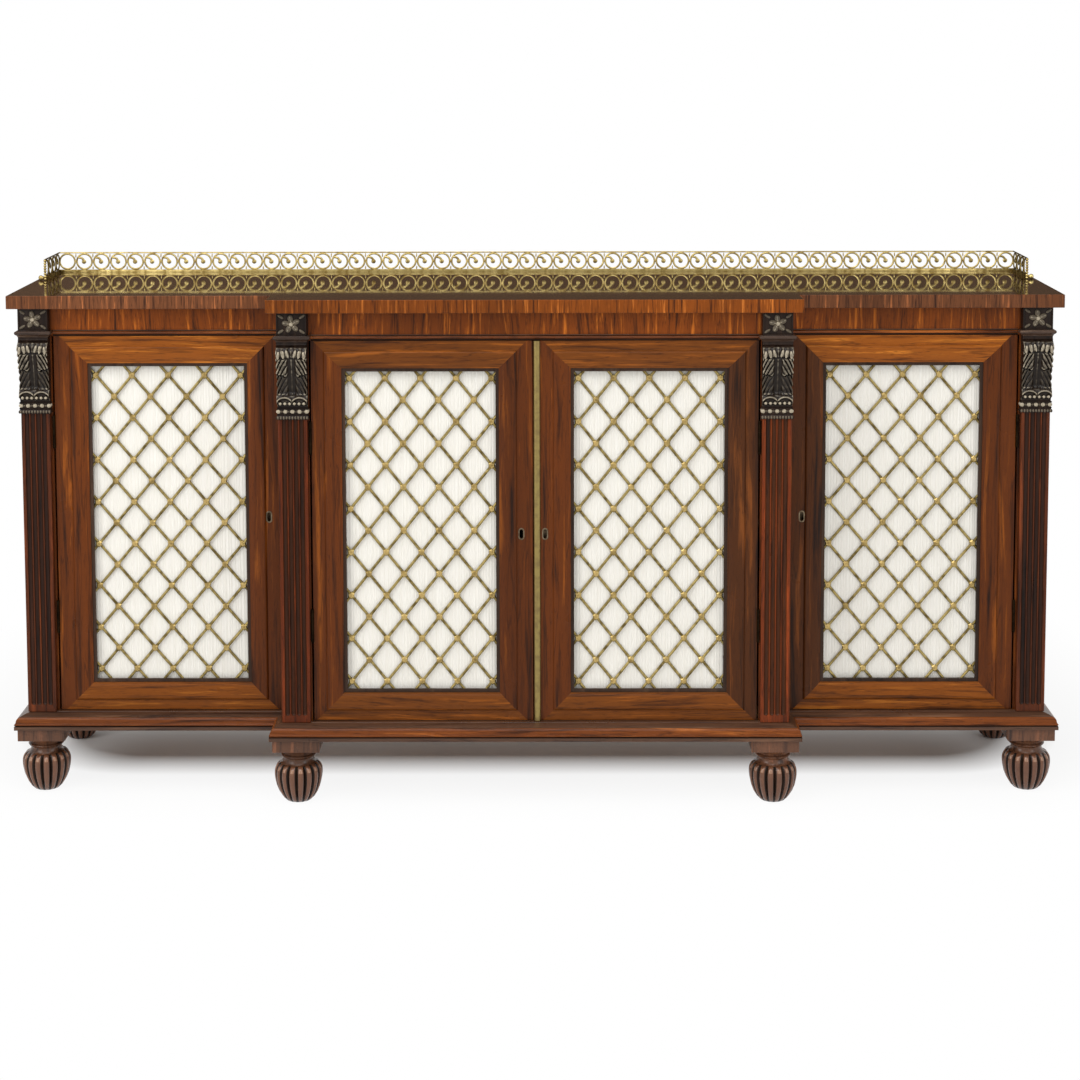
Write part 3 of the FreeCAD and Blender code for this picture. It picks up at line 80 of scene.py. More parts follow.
# steps of the lattice from the middle of a door to its last stud
LATTICE_ROWS, LATTICE_COLUMNS = 7, 4
KEY_HOLE_RADIUS, KEY_HOLE_RISE = 5.6, 5.5
PLEATS = 58
FRONT_FEET = ((-905.5, -113.75), (-431.5, -177.75), (431.5, -177.75), (905.5, -113.75))
BACK_FEET = ((-905.5, 177.25), (905.5, 177.25))
FOOT_HEIGHT, FOOT_BLOCK_HALF = 100.0, 43.0
LOBES, LOBE_DEPTH = 16, 5.6
GALLERY_HALF, GALLERY_FACE, GALLERY_RETURN = 935.0, 208.75, 128.0
GALLERY_HEIGHT, RING_HEIGHT, RING_RADIUS = 40.0, 21.5, 14.9
BACK_SCROLLS, RETURN_SCROLLS = 56, 4
BACK_BOARDS = 12


def box_mm(node):
    low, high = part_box(node)
    return low / MM, high / MM


# ---------------- materials
def linear(colour):
    """An sRGB hex colour as the linear one that a shader takes."""
    parts = [int(colour[i:i + 2], 16) / 255 for i in (1, 3, 5)]
    return [c / 12.92 if c <= 0.04045 else ((c + 0.055) / 1.055) ** 2.4
            for c in parts] + [1.0]


def add(tree, kind, inputs=None, stops=(), spans=(), **settings):
    """Adds a node with its settings. An input takes a number, an sRGB colour, a socket
    or a node, whose first output is meant. stops are the colours of a ramp, and spans
    are the range that a MapRange takes and the one that it gives."""
    made = tree.nodes.new("ShaderNode" + kind)
    for name, value in settings.items():
        setattr(made, name, value)
    for name, value in [*(inputs or {}).items(), *enumerate(spans, 1)]:
        if isinstance(value, bpy.types.Node):
            value = value.outputs[0]
        if isinstance(value, bpy.types.NodeSocket):
            tree.links.new(value, made.inputs[name])
        elif isinstance(value, str):
            made.inputs[name].default_value = linear(value)
        else:
            made.inputs[name].default_value = value
    if stops:
        ramp = made.color_ramp.elements
        while len(ramp) < len(stops):
            ramp.new(1.0)
        for element, (place, colour) in zip(ramp, stops):
            element.position = place
            element.color = linear(colour)
    return made


def new_material(name):
    """An empty material, its nodes, and the piece's own coordinates."""
    material = bpy.data.materials.new(name)
    material.use_nodes = True
    tree = material.node_tree
    tree.nodes.clear()
    return material, tree, add(tree, "TexCoord").outputs["Object"]


# how far a pattern is drawn out along its grain
ALONG = {"X": (0.045, 1, 1), "Y": (1, 0.045, 1), "Z": (1, 1, 0.045)}


def rosewood(name, grain, pale, body, dark, vein=0.4, streak=7.0, rough=0.34, shine=0.15,
             wave=0.03, pore_depth=0.06, polish=0.0):
    """French-polished rosewood veneer: red-brown with near-black streaks along the grain,
    open pores and a soft waxed gloss. streak is the width of its bands in millimetres."""
    material, tree, place = new_material(name)
    # the figure wanders sideways over a hand's breadth
    slow = [0.3 if share < 1 else share for share in ALONG[grain]]
    drift = add(tree, "Mapping", {"Vector": place, "Scale": slow})
    wander = add(tree, "TexNoise", {"Vector": drift, "Scale": 7.0, "Detail": 2.0})
    centred = add(tree, "VectorMath", {0: wander.outputs["Color"], 1: (0.5, 0.5, 0.5)},
                  operation="SUBTRACT")
    shifted = add(tree, "VectorMath", {0: centred, 1: (wave, wave, wave), 2: place},
                  operation="MULTIPLY_ADD")
    lines = add(tree, "Mapping", {"Vector": shifted, "Scale": ALONG[grain]})
    bands = add(tree, "TexNoise", {"Vector": lines, "Scale": 1000 / (streak * 2),
                                   "Detail": 5.0, "Roughness": 0.62, "Distortion": 0.25})
    colour = add(tree, "ValToRGB", {"Fac": bands},
                 stops=[(0.33, dark), (0.46, body), (0.56, body), (0.68, pale)])
    # broad paler and darker zones, as sawn from different parts of the log
    zones = add(tree, "TexNoise", {"Vector": lines, "Scale": 6.0, "Detail": 1.0})
    zone = add(tree, "MapRange", {"Value": zones}, spans=(0.32, 0.68, 0.72, 1.28))
    toned = add(tree, "VectorMath", {0: colour, 1: zone}, operation="MULTIPLY")
    # ink lines: thin contours of a second, slower noise
    inks = add(tree, "TexNoise", {"Vector": lines, "Scale": 1000 / (streak * 3.2),
                                  "Detail": 3.0, "Roughness": 0.5})
    off = add(tree, "Math", {0: inks, 1: 0.5}, operation="SUBTRACT")
    near = add(tree, "Math", {0: off}, operation="ABSOLUTE")
    ink = add(tree, "MapRange", {"Value": near}, spans=(0.003, 0.016, vein, 0.0))
    inked = add(tree, "Mix", {0: ink, 6: toned, 7: "#140b07"}, data_type="RGBA")
    # pores about 0.5 mm wide, drawn 0.9 mm wide so that they still show
    pores = add(tree, "TexNoise", {"Vector": lines, "Scale": 1100.0, "Detail": 1.0})
    pore = add(tree, "MapRange", {"Value": pores}, spans=(0.62, 0.72, 0.0, 0.55))
    pored = add(tree, "Mix", {0: pore, 6: inked.outputs[2], 7: "#160c08"},
                data_type="RGBA")
    worn = add(tree, "TexNoise", {"Vector": place, "Scale": 14.0, "Detail": 3.0})
    sheen = add(tree, "MapRange", {"Value": worn},
                spans=(0.3, 0.7, rough * 0.8, rough * 1.25))
    dents = add(tree, "Bump", {"Height": pores, "Strength": pore_depth,
                               "Distance": 0.0002})
    polished = add(tree, "BsdfPrincipled", {
        "Base Color": pored.outputs[2], "Roughness": sheen, "IOR": 1.5,
        "Specular IOR Level": shine, "Coat Weight": polish, "Coat Roughness": 0.05,
        "Normal": dents})
    add(tree, "OutputMaterial", {"Surface": polished})
    return material


def carved_wood(name, hollow, body, crest, rough, mottle_size=6.0, shine=0.2, polish=0.0):
    """Rosewood carved in relief, coloured by how pointed its surface is: the hollows are
    painted near black as shade, and the crests paler as a painted highlight, both a
    little uneven. mottle_size is in millimetres."""
    material, tree, place = new_material(name)
    mottle = add(tree, "TexNoise", {"Vector": place, "Scale": 1000 / mottle_size,
                                   "Detail": 3.0})
    crests = add(tree, "NewGeometry").outputs["Pointiness"]
    uneven = add(tree, "MapRange", {"Value": mottle}, spans=(0.3, 0.7, -0.012, 0.012))
    height = add(tree, "Math", {0: crests, 1: uneven}, operation="ADD")
    # painted shade in the hollows, painted highlight on the crests
    colour = add(tree, "ValToRGB", {"Fac": height},
                 stops=[(0.44, hollow), (0.49, body), (0.51, body), (0.585, crest)])
    dents = add(tree, "Bump", {"Height": mottle, "Strength": 0.12, "Distance": 0.0004})
    painted_light = add(tree, "BsdfPrincipled", {
        "Base Color": colour, "Roughness": rough, "IOR": 1.5, "Specular IOR Level": shine,
        "Coat Weight": polish, "Coat Roughness": 0.12, "Normal": dents})
    add(tree, "OutputMaterial", {"Surface": painted_light})
    return material


def brass(name, bright, dull, rough):
    """Cast and filed brass under old lacquer: olive gold, duller and browner in patches
    a few millimetres across, with fine file marks."""
    material, tree, place = new_material(name)
    patches = add(tree, "TexNoise", {"Vector": place, "Scale": 90.0, "Detail": 4.0,
                                     "Roughness": 0.6})
    tarnish = add(tree, "ValToRGB", {"Fac": patches}, stops=[(0.36, dull), (0.58, bright)])
    marks = add(tree, "TexNoise", {"Vector": place, "Scale": 1400.0, "Detail": 1.0})
    worn = add(tree, "MapRange", {"Value": patches},
               spans=(0.35, 0.65, rough + 0.12, rough - 0.05))
    dents = add(tree, "Bump", {"Height": marks, "Strength": 0.12, "Distance": 0.0002})
    metal = add(tree, "BsdfPrincipled", {
        "Base Color": tarnish, "Metallic": 1.0, "Roughness": worn, "Normal": dents})
    add(tree, "OutputMaterial", {"Surface": metal})
    return material


def plain_wood(name, grain, pale, dark):
    """Unpolished pine or deal inside the carcase, with broad soft growth rings."""
    material, tree, place = new_material(name)
    fibres = add(tree, "Mapping", {"Vector": place, "Scale": ALONG[grain]})
    rings = add(tree, "TexNoise", {"Vector": fibres, "Scale": 45.0, "Detail": 4.0,
                                   "Distortion": 0.6})
    colour = add(tree, "ValToRGB", {"Fac": rings}, stops=[(0.35, dark), (0.65, pale)])
    dents = add(tree, "Bump", {"Height": rings, "Strength": 0.1, "Distance": 0.0005})
    sawn = add(tree, "BsdfPrincipled", {
        "Base Color": colour, "Roughness": 0.65, "IOR": 1.5, "Normal": dents})
    add(tree, "OutputMaterial", {"Surface": sawn})
    return material


def silk_cloth(name):
    """Cream plain-woven silk: a soft upright sheen, with slubs every few millimetres."""
    material, tree, place = new_material(name)
    # threads are 0.2 mm apart, drawn at 1 mm so that they show
    threads = add(tree, "Mapping", {"Vector": place, "Scale": (1, 1, 0.03)})
    slubs = add(tree, "TexNoise", {"Vector": threads, "Scale": 500.0, "Detail": 2.0})
    colour = add(tree, "ValToRGB", {"Fac": slubs},
                 stops=[(0.3, "#f0ece2"), (0.62, "#f6f3eb")])
    dents = add(tree, "Bump", {"Height": slubs, "Strength": 0.1, "Distance": 0.0003})
    woven = add(tree, "BsdfPrincipled", {
        "Base Color": colour, "Roughness": 0.55, "IOR": 1.45, "Sheen Weight": 0.25,
        "Sheen Roughness": 0.4, "Normal": dents})
    add(tree, "OutputMaterial", {"Surface": woven})
    return material


# doors: rails warmer and brighter, mostly a painted sheen along their grain, stiles with
# broader, darker bands
RAIL = rosewood("rosewood_rail", "X", "#c47628", "#8c4c15", "#4f280c", streak=4.6)
CENTRE_RAIL = rosewood("rosewood_centre_rail", "X", "#a0591c", "#733e12", "#43220c",
                       streak=4.6)
STILE = rosewood("rosewood_stile", "Z", "#9a5319", "#63300d", "#2c160a", streak=8.0)
DARK_STILE = rosewood("dark_rosewood_stile", "Z", "#7a431a", "#4c280f", "#24130a",
                      streak=8.0)
EBONISED = rosewood("ebonised_slip", "Z", "#4c382a", "#3a291f", "#261a13", vein=0.2)
# top: a mirror polish over short cross-grained edges
TOP_FACE = rosewood("rosewood_polished_top", "X", "#4c2a16", "#331b10", "#1a0e08",
                    rough=0.045, shine=0.7, pore_depth=0.0, polish=0.6)
TOP_EDGE = rosewood("rosewood_cross_grained_edge", "Z", "#cf7830", "#7f400f", "#421f08",
                    streak=2.6, wave=0.012)
TOP_SIDE_EDGE = rosewood("rosewood_cross_grained_side_edge", "Z", "#b06a3e", "#6b4026",
                         "#351e14", streak=2.6, wave=0.012)
FRIEZE = rosewood("rosewood_frieze_veneer", "Z", "#cb7024", "#813f10", "#3f1e09",
                  streak=3.4, wave=0.06)
# plinth and bead: polished noses; the upward slopes and fillets painted greyer as the
# reflection of the light from above, and the quirks painted dark as shade
PLINTH_LONG, PLINTH_DEEP = [
    rosewood("rosewood_plinth" + part, grain, "#a15a24", "#733b16", "#40200d", streak=5.0,
             rough=0.24) for part, grain in (("", "X"), ("_return", "Y"))]
GREYED_LONG, GREYED_DEEP = [
    rosewood("greyed_rosewood_ledge" + part, grain, "#72503a", "#533828", "#36221a",
             streak=5.0, rough=0.3, shine=0.3)
    for part, grain in (("", "X"), ("_return", "Y"))]
QUIRK_SHADE = rosewood("quirk_painted_shade", "X", "#3d281c", "#2e1d14", "#1b110c", shine=0.05)
# pilasters: the centre pair is redder, and the flutes are painted darker as shade
SHAFT = rosewood("dark_rosewood_shaft", "Z", "#82401f", "#5a2c16", "#2c160d", streak=5.0)
FLUTE_SHADE = rosewood("flute_painted_shade", "Z", "#4a2818", "#341d12", "#1a100c",
                 streak=5.0)
RED_SHAFT = rosewood("red_rosewood_shaft", "Z", "#96421a", "#6c2f12", "#3a1a0c",
                     streak=5.0)
RED_FLUTE_SHADE = rosewood("red_flute_painted_shade", "Z", "#643216", "#44230f", "#22120a",
                     streak=5.0)
CAP = rosewood("rosewood_cap_moulding", "X", "#6b5645", "#463429", "#261a13", streak=5.0,
               rough=0.26, shine=0.3)
# carving: crests painted pale as a highlight over a near-black ground, and a dimmer copy
# painted as shade
CARVED = carved_wood("carved_rosewood", "#0c0806", "#241b14", "#b5a993", 0.3)
CARVED_DIM = carved_wood("carved_rosewood_in_shade", "#0c0806", "#211912", "#6e6353", 0.3)
GROUND = rosewood("dark_rosewood_ground", "Z", "#3b2b20", "#271b14", "#160f0b", streak=5.0)
CARVING = [CARVED, GROUND, CARVED_DIM]
# feet: rounder gloss on the lobes, with a painted highlight where they end under the
# shoulder
FOOT = rosewood("turned_rosewood_foot", "Z", "#8a583c", "#66422d", "#38231a", rough=0.26,
                shine=0.35)
LOBE = carved_wood("carved_rosewood_lobes", "#1b100a", "#68422e", "#875d45", 0.22, 12.0,
                   shine=0.3, polish=0.25)
LOBE_HIGHLIGHT = carved_wood("rosewood_lobe_tips_painted_highlight", "#3a241a", "#8f6247", "#b48e74", 0.2,
                       12.0, shine=0.35, polish=0.3)
# carcase
END = rosewood("rosewood_end_veneer", "Z", "#7c4419", "#592d11", "#30190c")
INSIDE_UPRIGHT = plain_wood("secondary_wood_upright", "Z", "#a5794c", "#7d5733")
INSIDE_PALE = plain_wood("secondary_wood_pale_board", "Z", "#b0855a", "#87613c")
INSIDE_DARK = plain_wood("secondary_wood_dark_board", "Z", "#9a7046", "#74502f")
INSIDE_LONG = plain_wood("secondary_wood_long", "X", "#a5794c", "#7d5733")
# brass: brightest on the gallery and its knobs, painted brown as shade on the returns, and
# near black as shade on the hinges
BRASS = brass("lacquered_brass", "#c6b174", "#927b45", 0.32)
LATTICE_BRASS = brass("lattice_brass", "#9f8d58", "#64552f", 0.42)
STUD_BRASS = brass("stud_brass", "#c7ad70", "#937d4c", 0.36)
STRIP_BRASS = brass("strip_brass", "#9a8753", "#84714a", 0.36)
RETURN_SHADE_BRASS = brass("return_brass_painted_shade", "#8d7b4a", "#4e4022", 0.4)
DULL_BRASS = brass("unlacquered_lock_brass", "#867660", "#5a4c3c", 0.45)
HINGE_SHADE_BRASS = brass("hinge_brass_painted_shade", "#2b2014", "#19120c", 0.6)
SILK = silk_cloth("pleated_silk")


# ---------------- shaping helpers
def corners_of(made):
    return [item for item in made if isinstance(item, bmesh.types.BMVert)]


def paint(corners, finish):
    """Gives a finish to each face that has one of the corners."""
    for corner in corners:
        for face in corner.link_faces:
            face.material_index = finish


def rim_extruded(mesh, corners):
    """Extrudes the open edges at the corners, and gives what is new."""
    rim = dict.fromkeys(edge for corner in corners if corner.is_valid
                        for edge in corner.link_edges if edge.is_boundary)
    return bmesh.ops.extrude_edge_only(mesh, edges=list(rim))["geom"]


def capped(mesh, made):
    """Closes the openings whose edges are among what an operator made."""
    rim = [item for item in made if isinstance(item, bmesh.types.BMEdge)
           and item.is_boundary]
    bmesh.ops.holes_fill(mesh, edges=rim, sides=0)


def mesh_data(name, mesh):
    data = bpy.data.meshes.new(name)
    mesh.to_mesh(data)
    mesh.free()
    return data


def linked(name, data):
    made = bpy.data.objects.new(name, data)
    bpy.context.scene.collection.objects.link(made)
    return made


def keep(name, mesh, body, finishes, stands_for=(), sharp=35):
    """Scales a finished mesh to metres and makes it a piece that rides on a body."""
    bmesh.ops.recalc_face_normals(mesh, faces=mesh.faces)
    bmesh.ops.scale(mesh, vec=(MM, MM, MM), verts=mesh.verts)
    data = mesh_data(name, mesh)
    for finish in finishes:
        data.materials.append(finish)
    data.shade_smooth()
    data.set_sharp_from_angle(angle=math.radians(sharp))
    for face in data.polygons:
        # a face over 80 square centimetres is shaded flat, so that it mirrors straight
        if face.area > 0.008:
            face.use_smooth = False
    piece = linked(name, data)
    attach(piece, body)
    if stands_for:
        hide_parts(*stands_for)
    return piece


def carved(mesh, cutter):
    """One closed solid with other closed shapes cut out of it, as a new mesh."""
    for made in (mesh, cutter):
        bmesh.ops.recalc_face_normals(made, faces=made.faces)
    solids = [linked("solid", mesh_data("solid", made)) for made in (mesh, cutter)]
    carving = solids[0].modifiers.new("carve", "BOOLEAN")
    carving.object = solids[1]
    carving.solver = "EXACT"
    result = bmesh.new()
    result.from_object(solids[0], bpy.context.evaluated_depsgraph_get())
    for solid in solids:
        bpy.data.objects.remove(solid)
    return result


def joined(meshes):
    """Several meshes in one, each still a closed solid of its own."""
    whole = bmesh.new()
    for mesh in meshes:
        data = mesh_data("part", mesh)
        whole.from_mesh(data)
        bpy.data.meshes.remove(data)
    return whole


def upright_grid(mesh, centre, width, height, columns, rows):
    """Flat grid that stands up and faces the front."""
    place = (Matrix.Translation(centre) @ Matrix.Rotation(math.radians(90), 4, "X")
             @ Matrix.Diagonal((width, height, 1, 1)))
    return bmesh.ops.create_grid(mesh, x_segments=columns, y_segments=rows, size=0.5,
                                 matrix=place)["verts"]


def prism(mesh, outline, sweep):
    """Flat outline drawn along a vector."""
    face = mesh.faces.new([mesh.verts.new(point) for point in outline])
    made = bmesh.ops.extrude_face_region(mesh, geom=[face])["geom"]
    bmesh.ops.translate(mesh, verts=corners_of(made), vec=sweep)


def slab(mesh, low, high, finish=0, soften=0.0):
    """Rectangular block, with softened edges where asked."""
    low, high = Vector(low), Vector(high)
    place = Matrix.Translation((low + high) / 2) @ Matrix.Diagonal((*(high - low), 1))
    made = bmesh.ops.create_cube(mesh, size=1.0, matrix=place)["verts"]
    paint(made, finish)
    if soften:
        edges = dict.fromkeys(edge for corner in made for edge in corner.link_edges)
        bmesh.ops.bevel(mesh, geom=list(edges), offset=soften, segments=2, profile=0.5,
                        affect="EDGES", material=-1)


def member(mesh, profile, start, along, across, outward, length, mitres=(0, 0), finish=0):
    """Straight member of one profile, whose points are (across, outward). A mitre of 1
    runs that end on by as much as the profile goes across."""
    start = Vector(start)
    ring = [mesh.verts.new(start + across * a + outward * b
                           - along * (mitres[0] * a)) for a, b in profile]
    face = mesh.faces.new(ring)
    grown = corners_of(bmesh.ops.extrude_face_region(mesh, geom=[face])["geom"])
    for corner in grown:
        a = (corner.co - start).dot(across)
        corner.co += along * (length + (mitres[0] + mitres[1]) * a)
    paint(ring + grown, finish)


def raised(mesh, face, inner):
    """Extrudes one face and gives the new one; a face left inside the solid goes."""
    made = bmesh.ops.extrude_face_region(mesh, geom=[face])["geom"]
    if inner:
        bmesh.ops.delete(mesh, geom=[face], context="FACES_ONLY")
    return [item for item in made if isinstance(item, bmesh.types.BMFace)][0]


def stepped_block(mesh, x, back, half, depth, levels, finish=0):
    """Block against a face, stacked from (height, how far it stands out all round)."""
    before = set(mesh.verts)
    height, out = levels[0]
    corners = [(x - half - out, back), (x + half + out, back),
               (x + half + out, back - depth - out), (x - half - out, back - depth - out)]
    face = mesh.faces.new([mesh.verts.new((px, py, height)) for px, py in corners])
    for i, (height, step) in enumerate(levels[1:]):
        face = raised(mesh, face, inner=i > 0)
        for corner in face.verts:
            side = 1 if corner.co.x > x else -1
            corner.co.x += side * (step - out)
            if corner.co.y < back - 0.01:
                corner.co.y -= step - out
            corner.co.z = height
        out = step
    paint(set(mesh.verts) - before, finish)


def ball(mesh, centre, size, steps=2, turn=0.0, finish=0):
    """Rounded lump with half sizes (x, y, z), turned about the line to the front."""
    place = (Matrix.Translation(Vector(centre)) @ Matrix.Rotation(turn, 4, "Y")
             @ Matrix.Diagonal((*size, 1)))
    made = bmesh.ops.create_icosphere(mesh, subdivisions=steps, radius=1.0, matrix=place)
    paint(made["verts"], finish)


def bolt_channel(mesh, low, high, room=0.0):
    """Upright channel for a flush bolt, wider by some room on every side."""
    slab(mesh, (-23.9 - room, -182.15 - room, low), (-14.1 + room, -176.35 + room, high))


def smooth_step(low, high, value):
    share = min(max((value - low) / (high - low), 0.0), 1.0)
    return share * share * (3 - 2 * share)


def through(points, value):
    """Smooth height at value through (place, height) points."""
    for (x0, y0), (x1, y1) in zip(points[:-1], points[1:]):
        if value <= x1:
            return y0 + (y1 - y0) * smooth_step(x0, x1, value)
    return points[-1][1]


# ---------------- carcase
def make_top():
    """Breakfront board, cross-grained round its edge, with eased arrises."""
    mesh = bmesh.new()
    plan = [(-TOP_HALF, TOP_BACK), (-TOP_HALF, TOP_SIDE_FRONT),
            (-TOP_CENTRE_HALF, TOP_SIDE_FRONT), (-TOP_CENTRE_HALF, TOP_CENTRE_FRONT),
            (TOP_CENTRE_HALF, TOP_CENTRE_FRONT), (TOP_CENTRE_HALF, TOP_SIDE_FRONT),
            (TOP_HALF, TOP_SIDE_FRONT), (TOP_HALF, TOP_BACK)]
    prism(mesh, [(x, y, TOP_LOW) for x, y in plan], (0, 0, TOP_HIGH - TOP_LOW))
    level = [edge for edge in mesh.edges
             if abs(edge.verts[0].co.z - edge.verts[1].co.z) < 1]
    bmesh.ops.bevel(mesh, geom=level, offset=1.2, segments=3, profile=0.5,
                    affect="EDGES", material=-1)
    mesh.normal_update()
    for face in mesh.faces:
        beside = abs(face.calc_center_median().x) > TOP_CENTRE_HALF
        face.material_index = 0 if abs(face.normal.z) > 0.99 else 2 if beside else 1
    keep("veneered_top_board", mesh, "carcase",
         [TOP_FACE, TOP_EDGE, TOP_SIDE_EDGE], ["top_board"])


def make_back():
    """Upright boards side by side in three tones, their edges eased into a shallow V."""
    mesh = bmesh.new()
    low, high = box_mm("back_boards")
    wide = (high.x - low.x) / BACK_BOARDS
    for i in range(BACK_BOARDS):
        slab(mesh, (low.x + wide * i, low.y, low.z),
             (low.x + wide * (i + 1), high.y, high.z), finish=i * 5 % 3, soften=1.4)
    keep("upright_back_boards", mesh, "carcase",
         [INSIDE_UPRIGHT, INSIDE_PALE, INSIDE_DARK], ["back_boards"])


# moulding of the plinth: (inward, up)
PLINTH_PROFILE = [(0, 0), (0, 6.4), (2.4, 6.7), (2.4, 8.5), (0.8, 8.7), (0.2, 9.4),
                  (0.1, 10.2), (0.5, 11.0), (1.5, 11.5), (2.2, 12.2), (2.5, 14.0),
                  (3.0, 17.0), (4.0, 19.2), (5.6, 21.0), (8.0, 22.4), (11.0, 23.6),
                  (15.0, 25.1), (20.0, 26.7), (25.2, 27.6), (25.6, 28),
                  (PLINTH_DEPTH, 28), (PLINTH_DEPTH, 0)]


def make_plinth():
    """Moulding round the foot of the carcase: strip, quirk, bead and rounded slope."""
    mesh = bmesh.new()
    half, centre, back = PLINTH_HALF, PLINTH_CENTRE_HALF, PLINTH_BACK
    side, front, base = PLINTH_SIDE_FRONT, PLINTH_CENTRE_FRONT, PLINTH_LOW
    for sign in (-1, 1):
        # the end of the cabinet, and the return of the breakfront
        for x, y, length, mitre in ((half, back, back - side, 0),
                                    (centre, side, side - front, 1)):
            member(mesh, PLINTH_PROFILE, (sign * x, y, base), FRONT, RIGHT * -sign, UP,
                   length, (mitre, -1), finish=1)
        member(mesh, PLINTH_PROFILE, (centre if sign > 0 else -half, side, base), RIGHT,
               BACK, UP, half - centre, (sign, -sign))
    slab(mesh, (-half + PLINTH_DEPTH, back - BOARD, base),
         (half - PLINTH_DEPTH, back, PLINTH_HIGH))
    middle, mortise = bmesh.new(), bmesh.new()
    member(middle, PLINTH_PROFILE, (-centre, front, base), RIGHT, BACK, UP, centre * 2,
           (-1, -1))
    bolt_channel(mortise, 140.2, 152, room=0.4)
    whole = joined([mesh, carved(middle, mortise)])
    # the quirk is painted dark as shade; the slope above is painted grey as the reflection
    # of the light from above, and the bottom strip takes the same grey
    for face in whole.faces:
        height, turned = face.calc_center_median().z - base, face.material_index == 1
        if 6.5 < height < 8.6:
            face.material_index = 4
        elif height < 6.5 or height > 22:
            face.material_index = 3 if turned else 2
    keep("plinth_moulding", whole, "carcase",
         [PLINTH_LONG, PLINTH_DEEP, GREYED_LONG, GREYED_DEEP, QUIRK_SHADE], ["plinth"])


# bead under the frieze: (outward, up)
BEAD_PROFILE = [(0, 0), (0.6, 0), (0.6, 3.0), (2.2, 3.2), (3.4, 4.1), (4.0, 5.8),
                (3.4, 7.4), (2.2, 8.3), (0.7, 8.5), (0.7, 9.3), (2.0, 9.5), (2.0, 10.5),
                (0, 10.5)]


def make_bead():
    """Bead under a thin fillet and over a dark recess, stopped between the caps."""
    mesh = bmesh.new()
    for start, end, nose_start, nose_end, face in (
            (-876.4, -460, -873.4, -460, SIDE_FACE),
            (-403.4, 403.4, -399.2, 399.2, CENTRE_FACE),
            (460, 876.4, 460, 873.4, SIDE_FACE)):
        member(mesh, BEAD_PROFILE, (nose_start, face, BEAD_LOW), RIGHT, FRONT, UP,
               nose_end - nose_start)
        backing = bmesh.new()
        slab(backing, (start, face, BEAD_LOW), (end, face + BOARD, BEAD_HIGH))
        if face == CENTRE_FACE:
            mortise = bmesh.new()
            bolt_channel(mortise, 843, 855.3, room=0.4)
            backing = carved(backing, mortise)
        mesh = joined([mesh, backing])
    # the recess and the quirk are painted dark as shade, and the fillet on top is painted
    # greyer as a highlight
    for face in mesh.faces:
        height = face.calc_center_median().z - BEAD_LOW
        if height < 3.1 or 8.4 < height < 9.4:
            face.material_index = 1
        elif height > 9.4:
            face.material_index = 2
    keep("frieze_bead_run", mesh, "carcase", [PLINTH_LONG, QUIRK_SHADE, GREYED_LONG],
         ["frieze_bead"])


# ---------------- pilasters
FLUTES, FLUTE_PITCH, FLUTE_RADIUS, FLUTE_DEPTH = 4, 10.4, 4.4, 3.4


def flute_cutter(mesh, x, face, low, high):
    """Round-ended channel: half a ball drawn upwards."""
    centre = Vector((x, face + FLUTE_DEPTH - FLUTE_RADIUS, low + FLUTE_RADIUS))
    made = bmesh.ops.create_uvsphere(mesh, u_segments=20, v_segments=10,
                                     radius=FLUTE_RADIUS,
                                     matrix=Matrix.Translation(centre))["verts"]
    upper = [corner for corner in made if corner.co.z > centre.z + 0.01]
    bmesh.ops.delete(mesh, geom=upper, context="VERTS")
    grown = rim_extruded(mesh, made)
    bmesh.ops.translate(mesh, verts=corners_of(grown), vec=(0, 0, high - centre.z))
    capped(mesh, grown)


def make_shafts(name, centre_x, face, finishes):
    """Fluted shafts, their flutes rounded at the foot and open under the console."""
    shafts = []
    front = face - SHAFT_OUT
    for x in (-centre_x, centre_x):
        block, cutter = bmesh.new(), bmesh.new()
        slab(block, (x - SHAFT_HALF, front, PLINTH_HIGH), (x + SHAFT_HALF, face, SHAFT_TOP),
             soften=0.8)
        for i in range(FLUTES):
            flute_cutter(cutter, x + FLUTE_PITCH * (i - (FLUTES - 1) / 2), front,
                         PLINTH_HIGH + 12, SHAFT_TOP + 15)
        shaft = carved(block, cutter)
        # the inside of each flute is painted darker as shade
        for part in shaft.faces:
            middle = part.calc_center_median()
            if middle.y > front + 0.9 and abs(middle.x - x) < SHAFT_HALF - 4:
                part.material_index = 1
        shafts.append(shaft)
    keep(name + "_fluted_shafts", joined(shafts), "carcase",
         finishes, [name + "_pilaster_shafts"])


# side of a console: (height, how far it stands out)
CONSOLE_SIDE = [(0, 2.0), (5, 2.4), (9, 6.0), (15, 8.2), (21, 7.4), (26, 4.0), (29, 2.4),
                (40, 4.2), (56, 6.6), (70, 10), (84, 14), (95, 17.2), (103, 17.8),
                (109, 15.0), (113, 9.5), (116, 6.0), (120, 6.0)]
# heights up the console where the arches end and where the plain top begins
ARCHES_END, LEAF_END = 25, 113


def frond(side, h):
    """Height, 0 to 1, of the plump fronds that fall outwards from the middle rib."""
    reach = 13.0 if h > 61 else 14.0
    return abs(math.cos(math.pi * (h + 40 * side ** 1.6) / reach)) ** 0.6


